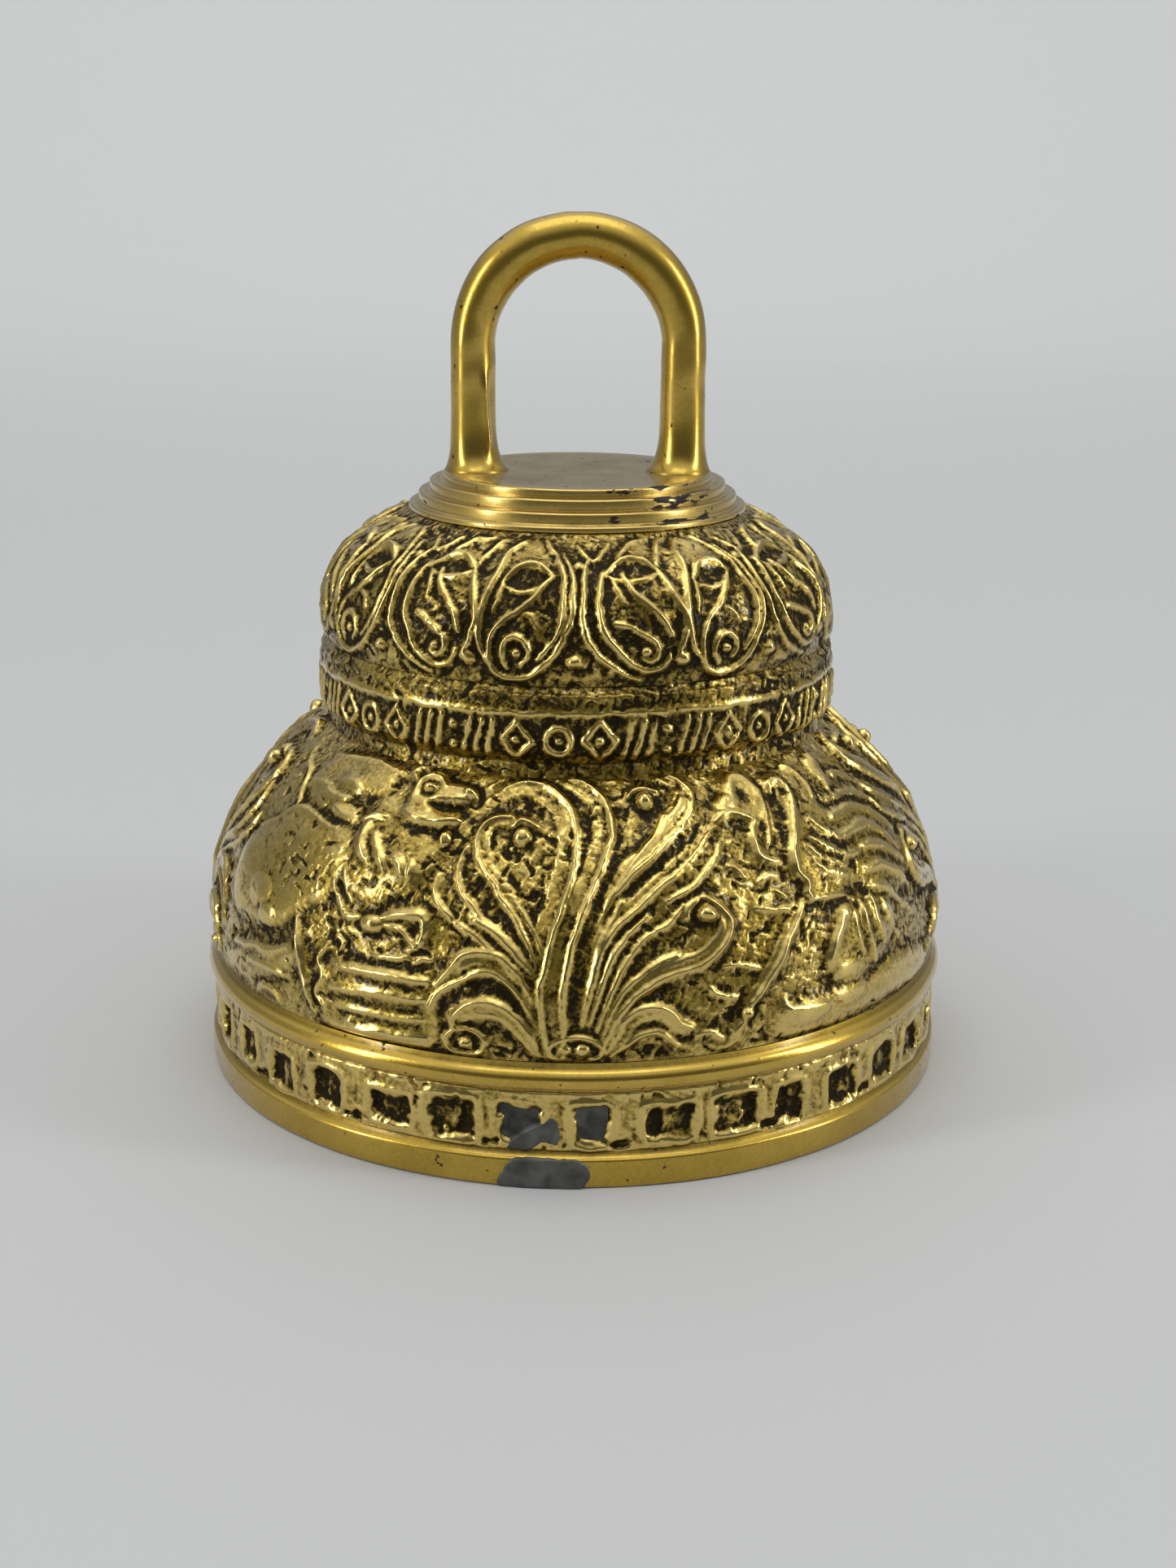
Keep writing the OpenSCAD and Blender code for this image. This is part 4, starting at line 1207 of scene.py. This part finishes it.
def makeInside(s):
    c, d = skirt["center"], dome["center"]
    thick = mouthR - 1.3 - s["wall"] - 1.0              # the wall is 1 mm thicker just above the mouth
    line = [(56.9, 6.9), (thick, 8.5), (thick, 14)]
    line += arcPoints(*c, skirt["radius"] - s["wall"], 0, skirt["to"], 18)
    line += [(d[0] + dome["radius"] - s["wall"] - 0.3, neck["low"] + 1)]
    line += arcPoints(*d, dome["radius"] - s["wall"], 0, dome["to"], 14)
    line += [(d[0] - 0.5, s["ceiling"]), (9.0, s["ceiling"]), (s["hole"], s["ceiling"])]
    outer = [(r + s["skin"], z + (s["skin"] if z > 80 else 0.4 if z < 8 else 0)) for r, z in reversed(line)]
    outer[0] = (s["hole"], s["ceiling"] + s["skin"])
    obj = spinPiece("insideWall", line + outer, s["steps"], innerBrass, 0.05, 8)
    belongs(obj, "bell", "bell_body")


makeInside(inner)
print("inside wall turned")


# ---- crown plate

crown = {"lip": 0.45, "steps": 400, "uneven": 0.035, "flatR": 20.6, "dish": 0.10}


def makeCrown(s):
    rings = [(27.6, crownZ, 1.0), (26.0, crownZ + 1.0, 1.8), (24.2, crownZ + 2.8, 1.8), (22.0, crownZ + 4.6, 1.3)]
    profile = [(0, crownZ - 0.5), (26.6, crownZ - 0.5), (27.2, crownZ - 0.3)]
    e = s["lip"]
    for r, z, h in rings:
        profile += [(r, z + 0.15)] + arcPoints(r - e, z + h - e, e, 5, 80, 5)
        profile += [(r - e - 0.4, z + h - 0.06), (r - e - 0.75, z + h - 0.12)]
    profile = profile[:-2] + [(20.8, plateTop), (19, plateTop + 0.02)]
    profile += [(x, plateTop) for x in (16, 13, 10, 7, 4, 2, 0)]
    dark = [(r - 1.3, z + h, 0.45, 0.55) for r, z, h in rings[:3]]
    obj = spinPiece("crownRings", profile, s["steps"], crownBrass, s["uneven"], 12, dark, 0.16)
    mesh = obj.data
    for i, v in enumerate(mesh.vertices):               # the flat top is a little dished, and painted a duller brown-grey as a painted reflection of the grey backdrop
        away = math.hypot(v.co.x, v.co.y) / mm
        if v.co.z > (plateTop - 0.3) * mm and away < s["flatR"]:
            mesh.attributes["patina"].data[i].value = 0.50
            v.co.z -= s["dish"] * mm * (1 - (away / s["flatR"]) ** 2)
    belongs(obj, "bell", "crown_plate")


makeCrown(crown)
print("crown turned")


# ---- loop handle

handle = {
    "rod": 3.62, "shoulder": 0.28, "loopR": 17.0, "archZ": loopTop - 17.0 - 3.5, "sides": 64,
    "footIn": 2.3, "footOut": 1.0, "footReach": 2.1, "seam": 0.5, "groove": 0.20, "uneven": 0.02,
    "legRows": 44, "archRows": 110,
}


def makeHandle(s):
    bpy.ops.object.select_all(action="DESELECT")
    foot = plateTop - 1.0
    bpy.ops.mesh.primitive_circle_add(vertices=s["sides"], radius=s["rod"] * mm, fill_type="NGON",
                                      location=(-s["loopR"] * mm, 0, foot * mm))
    obj = bpy.context.object
    obj.name = "handleLoop"
    bpy.ops.object.transform_apply(location=True, rotation=True, scale=True)
    bpy.ops.object.mode_set(mode="EDIT")
    bpy.ops.mesh.select_all(action="SELECT")
    rise = (s["archZ"] - foot) / s["legRows"]
    for i in range(s["legRows"]):
        bpy.ops.mesh.extrude_region_move(TRANSFORM_OT_translate={"value": (0, 0, rise * mm)})
    bpy.ops.mesh.spin(steps=s["archRows"], angle=-math.pi, center=(0, 0, s["archZ"] * mm), axis=(0, 1, 0))
    for i in range(s["legRows"]):
        bpy.ops.mesh.extrude_region_move(TRANSFORM_OT_translate={"value": (0, 0, -rise * mm)})
    bpy.ops.mesh.select_all(action="SELECT")
    bpy.ops.mesh.remove_doubles(threshold=1e-6)
    bpy.ops.mesh.normals_make_consistent(inside=False)
    bpy.ops.object.mode_set(mode="OBJECT")
    mesh = obj.data
    p = readPoints(mesh) / mm
    z0 = np.minimum(p[:, 2], s["archZ"])
    over = p[:, 2] - z0
    turn = np.where(over > 0, np.arctan2(over, p[:, 0]), np.where(p[:, 0] < 0, math.pi, 0))
    outX, outZ = np.cos(turn), np.sin(turn)
    middle = np.stack([s["loopR"] * outX, 0 * turn, z0 + s["loopR"] * outZ], axis=1)
    part = p - middle
    out = (part[:, 0] * outX + part[:, 2] * outZ) / s["rod"]          # 1 on the outside of the loop, -1 inside
    front = -part[:, 1] / s["rod"]
    height = z0 - plateTop
    rng = np.random.default_rng(4)
    path = np.where(over > 0, height + s["loopR"] * np.minimum(turn, math.pi - turn), height)
    path = path * np.sign(p[:, 0] + 1e-6)
    facing = np.arctan2(front, out)
    lumps = sum(rng.normal() * np.cos(path * k * 0.11 + around * facing + rng.random() * 7) / k ** 0.7
                for k in range(1, 12) for around in (0, 1, 2))
    grow = s["shoulder"] * np.exp(-((np.abs(turn - math.pi / 2) - 0.75) / 0.5) ** 2)
    flare = np.exp(-np.clip(height, 0, None) / s["footReach"]) * (over <= 0)
    grow += flare * (s["footIn"] + (s["footOut"] - s["footIn"]) * np.clip(out, 0, 1))
    grow += s["uneven"] * lumps
    ridge = np.arctan2(front, -out) / deg - 52 - 4 * np.sin(path * 0.35)    # a casting seam on the left leg
    length = ramp(height, 2.0, 5.0) * (1 - ramp(height, 13.0, 17.0)) * (p[:, 0] < 0) * (over <= 0)
    grow += s["seam"] * np.exp(-(ridge / 9) ** 2) * length
    grow -= s["groove"] * np.exp(-((ridge + 26) / 16) ** 2) * length
    scale = 1 + grow / s["rod"]
    p = middle + part * scale[:, None]
    p[:, 2] = np.minimum(p[:, 2], loopTop + 0.1)
    mesh.vertices.foreach_set("co", (p * mm).reshape(-1))
    # painted shade: the arch is darker than the legs, standing in for the darker room it mirrors, and the inner
    # underside of the arch is darker again as painted shade
    shade = 0.18 + 0.12 * ramp(over, 0, 6) + 0.25 * flare * (height < 0.6)
    setPatina(mesh, shade + 0.10 * np.exp(-((out + 0.8) / 0.4) ** 2) * (over > 0))
    mesh.polygons.foreach_set("use_smooth", [True] * len(mesh.polygons))
    mesh.materials.append(turnedBrass)
    belongs(obj, "bell", "loop_handle")


makeHandle(handle)
print("handle bent")


# ---- two fills of soft solder in the front of the mouth

# outlines are in degrees from the front and millimetres up
solder = {"stand": 0.22, "depth": 0.9, "spacing": 0.25}
lipFill = [(-10.4, 0.0), (-10.6, 1.6), (-9.6, 3.4), (-8.6, 5.4), (-3, 5.5), (0.9, 5.4), (2.4, 3.6), (2.5, 2.2),
           (1.5, 0.6), (-0.8, 0.0)]
friezeFill = [(-9.6, 0.4), (-8.4, 2.2), (-6.6, 3.6), (-4.4, 4.6), (-2.9, 6.0), (-1.9, 5.2), (-1.6, 2.6),
              (-2.2, 1.0), (-4.4, 1.6), (-5.6, 0.2)]


def makeFill(name, node, profile, outline, s, low):
    sheet = startRelief(profile, s["spacing"], 91)
    fillShape(sheet, [(a, u + low) for a, u in outline], 1.0, 0.5)
    inside = ramp(blur(sheet, sheet["mass"], 0.25) + 0.35 * sheet["ragged"], 0.35, 0.75)
    sheet["height"] = (inside * (s["stand"] + 0.35) - 0.35 + 0.03 * grain(sheet, 0.8, 92)
                       + 0.05 * grain(sheet, 2.6, 93))
    sheet["patina"] = np.clip(0.35 + 0.3 * grain(sheet, 1.6, 94) + 0.3 * (1 - inside), 0, 1)
    start = int(-13 / sheet["perColumn"])
    obj = shellPiece(name, sheet, s["depth"], solderGrey, start, int(18 / sheet["perColumn"]), node)
    for v in obj.data.vertices:
        v.co.z = max(v.co.z, 0.02 * mm)


lipEdge = [(mouthR - 0.75, 0.06)] + arcPoints(mouthR - 0.6, 0.6, 0.6, -75, 0, 5) + [(mouthR, 3.6)]
lipEdge += arcPoints(mouthR - 0.6, 4.2, 0.6, 0, 75, 5)
makeFill("lipSolder", "lip_repair", lipEdge, lipFill, solder, 0.0)
makeFill("friezeSolder", "frieze_repair", [(friezeR + 0.3, 5.2), (friezeR + 0.3, 13.0)], friezeFill, solder, 0.3)
print("solder laid")


# ---- hanger and clapper, from the top down. Rubbed places are (x, y, z, reach) in millimetres.
hanger = {
    "ceiling": 88.0, "washerR": 8.0, "collarR": 5.0, "collarZ": 85.3, "boltR": 3.0,
    "eyeZ": 80.2, "eyeR": 4.0, "eyeWire": 1.5, "linkZ": 74.4, "linkR": 4.8, "linkWire": 1.4, "seam": 0.12,
    "shankEyeZ": 68.5, "shankEyeR": 4.0, "shankWire": 1.4, "neckZ": 64.5, "neckR": 2.2, "lowR": 3.4,
    "threadLow": 27.6, "threadTop": 33.0, "pitch": 0.9, "forging": 0.10,
    "nutZ": 27.53, "nutH": 4.0, "nutFlat": 10.0, "ballZ": 16.0, "ballR": 13.0, "flats": 0.35,
}


def wearPiece(obj, base, mottle, rubbed, seed):
    # patina for the steel: mottled, and bright where parts rub
    mesh = obj.data
    p = readPoints(mesh) / mm
    rng = np.random.default_rng(seed)
    shade = np.full(len(p), base)
    for k in range(10):
        shade += mottle * 0.3 * np.cos(p @ rng.normal(size=3) * (0.3 + 0.1 * k) + rng.random() * 7)
    for x, y, z, reach in rubbed:
        shade -= base * np.exp(-((p - (x, y, z)) ** 2).sum(axis=1) / reach ** 2)
    setPatina(mesh, np.clip(shade, 0, 1))


def wireRing(name, z, ringR, wireR, across, material):
    # across is the direction of the ring's own axis
    bpy.ops.object.select_all(action="DESELECT")
    turn = (math.pi / 2, 0, 0) if across == "Y" else (0, math.pi / 2, 0)
    bpy.ops.mesh.primitive_torus_add(major_radius=ringR * mm, minor_radius=wireR * mm, major_segments=96,
                                     minor_segments=32, location=(0, 0, z * mm), rotation=turn)
    obj = bpy.context.object
    obj.name = name
    bpy.ops.object.transform_apply(location=True, rotation=True, scale=True)
    bpy.ops.object.shade_smooth()
    obj.data.materials.append(material)
    return obj


def joined(first, *others):
    selectOnly(*others, first)
    bpy.ops.object.join()
    return first


def makeHanger(s):
    top, wide = s["ceiling"], s["washerR"]
    profile = [(3.2, top - 0.1), (3.2, top - 1.05), (3.35, top - 1.2), (wide - 0.3, top - 1.2), (wide, top - 0.95),
               (wide, top - 0.15), (wide - 0.15, top), (3.3, top)]
    washer = spinPiece("hangerWasher", profile, 96, darkSteel, 0.02, 14)
    wearPiece(washer, 0.45, 0.10, [], 15)
    belongs(washer, "bell", "crown_washer")

    low, wide = s["collarZ"], s["collarR"]
    profile = [(0, low - 0.3), (2.2, low - 0.3), (3.4, low), (wide - 0.7, low + 0.05), (wide - 0.3, low + 0.4),
               (wide, low + 1.2), (wide - 0.1, low + 1.5), (s["boltR"], low + 1.5), (s["boltR"], low + 5.4),
               (0, low + 5.4)]
    bolt = spinPiece("hangerBolt", profile, 72, darkSteel, 0.03, 16)
    eye = wireRing("eye", s["eyeZ"], s["eyeR"], s["eyeWire"], "Y", darkSteel)
    bolt = joined(bolt, eye)
    wearPiece(bolt, 0.42, 0.10, [(0, 0, s["eyeZ"] - s["eyeR"] + s["eyeWire"], 1.6)], 17)
    belongs(bolt, "bell", "eye_bolt")

    link = wireRing("hangerLink", s["linkZ"], s["linkR"], s["linkWire"], "X", darkSteel)
    for v in link.data.vertices:                        # the brazed joint is a low collar on one side of the ring
        y, z = v.co.y / mm, v.co.z / mm - s["linkZ"]
        away = math.hypot(y, z)
        turn = math.atan2(z, y)
        grow = 1 + s["seam"] * math.exp(-((turn * s["linkR"]) / 0.7) ** 2)
        ring = Vector((0, y / away * s["linkR"], z / away * s["linkR"] + s["linkZ"]))
        v.co = (ring + (v.co / mm - ring) * grow) * mm
    wearPiece(link, 0.36, 0.12, [(0, 0, s["linkZ"] + s["linkR"], 1.8), (0, 0, s["linkZ"] - s["linkR"], 1.8)], 18)
    belongs(link, "link", "suspension_link")


def makeClapper(s):
    low, top = s["threadLow"], s["threadTop"]
    profile = [(0, low), (2.6, low)]
    for i in range(int((top - low) / s["pitch"])):
        z = low + i * s["pitch"]
        profile += [(2.62, z + 0.15), (2.98, z + 0.4), (2.98, z + 0.5), (2.62, z + 0.75)]
    profile += [(2.8, top), (s["lowR"], top + 0.5)]
    for i in range(1, 22):
        t = i / 21
        profile.append((s["lowR"] + (s["neckR"] - s["lowR"]) * t, top + 0.5 + (s["neckZ"] - 1.6 - top) * t))
    profile += [(s["neckR"] + 0.25, s["neckZ"] - 0.5), (s["neckR"] + 0.1, s["neckZ"] + 0.3),
                (1.0, s["neckZ"] + 0.9), (0, s["neckZ"] + 0.9)]
    shank = spinPiece("clapperShank", profile, 80, darkSteel, 0.0, 19)
    rng = np.random.default_rng(20)
    waves = [(rng.normal(), rng.uniform(0.15, 0.6), rng.integers(0, 4), rng.random() * 7) for k in range(9)]
    for v in shank.data.vertices:                       # hammered facets between the thread and the eye
        z = v.co.z / mm
        if z > top + 1:
            turn = math.atan2(v.co.y, v.co.x)
            push = sum(size * math.cos(long * z + around * turn + start)
                       for size, long, around, start in waves) * 0.3
            grow = 1 + s["forging"] * (push * 0.35 + 0.3 * math.cos(4 * turn + 0.05 * z))
            v.co.x *= grow
            v.co.y *= grow
    eye = wireRing("shankEye", s["shankEyeZ"], s["shankEyeR"], s["shankWire"], "Y", darkSteel)
    shank = joined(shank, eye)
    wearPiece(shank, 0.52, 0.16, [(0, 0, s["shankEyeZ"] + s["shankEyeR"] - s["shankWire"], 1.6)], 21)
    belongs(shank, "clapper", "clapper_shank")

    low, high, corner = s["nutZ"], s["nutZ"] + s["nutH"], s["nutFlat"] / 2 / math.cos(30 * deg)
    profile = [(3.06, low + 0.3), (3.4, low), (corner - 0.9, low), (corner, low + 0.5)]
    profile += [(corner, low + 0.5 + 0.25 * i) for i in range(1, 12)]
    profile += [(corner, high - 0.5), (corner - 0.9, high), (3.4, high), (3.06, high - 0.3)]
    nut = spinPiece("clapperNut", profile, 96, darkSteel, 0.0, 22)
    for v in nut.data.vertices:
        away, turn = math.hypot(v.co.x, v.co.y), math.atan2(v.co.y, v.co.x)
        flat = s["nutFlat"] / 2 * mm / math.cos(turn % (60 * deg) - 30 * deg)
        if away > flat:
            v.co.x *= flat / away
            v.co.y *= flat / away
    selectOnly(nut)
    bpy.ops.object.shade_smooth_by_angle(angle=25 * deg)
    wearPiece(nut, 0.40, 0.10, [], 23)
    belongs(nut, "clapper", "clapper_jam_nut")

    top = math.asin((s["nutZ"] - s["ballZ"]) / s["ballR"]) / deg
    profile = arcPoints(0, s["ballZ"], s["ballR"], -90, top, 90)
    profile[0] = (0, s["ballZ"] - s["ballR"])
    profile += [(4, s["nutZ"]), (0, s["nutZ"])]
    ball = spinPiece("clapperBall", profile, 128, strikerBrass, 0.05, 24)
    for v in ball.data.vertices:                        # a small flat on each side, and a faint mould line
        side = s["ballR"] - s["flats"] * 0.35
        if abs(v.co.x) > side * mm:
            v.co.x = math.copysign(side * mm, v.co.x)
        if abs(v.co.y) < 0.25 * mm and v.co.z < (s["nutZ"] - 0.5) * mm:
            v.co.x *= 1.004
    wearPiece(ball, 0.46, 0.14, [(13, 0, 16, 4.5), (-13, 0, 16, 4.5), (12, 3, 17, 2.0), (-12, -4, 15, 2.0)], 25)
    belongs(ball, "clapper", "clapper_ball")


makeHanger(hanger)
makeClapper(hanger)
print("clapper hung")
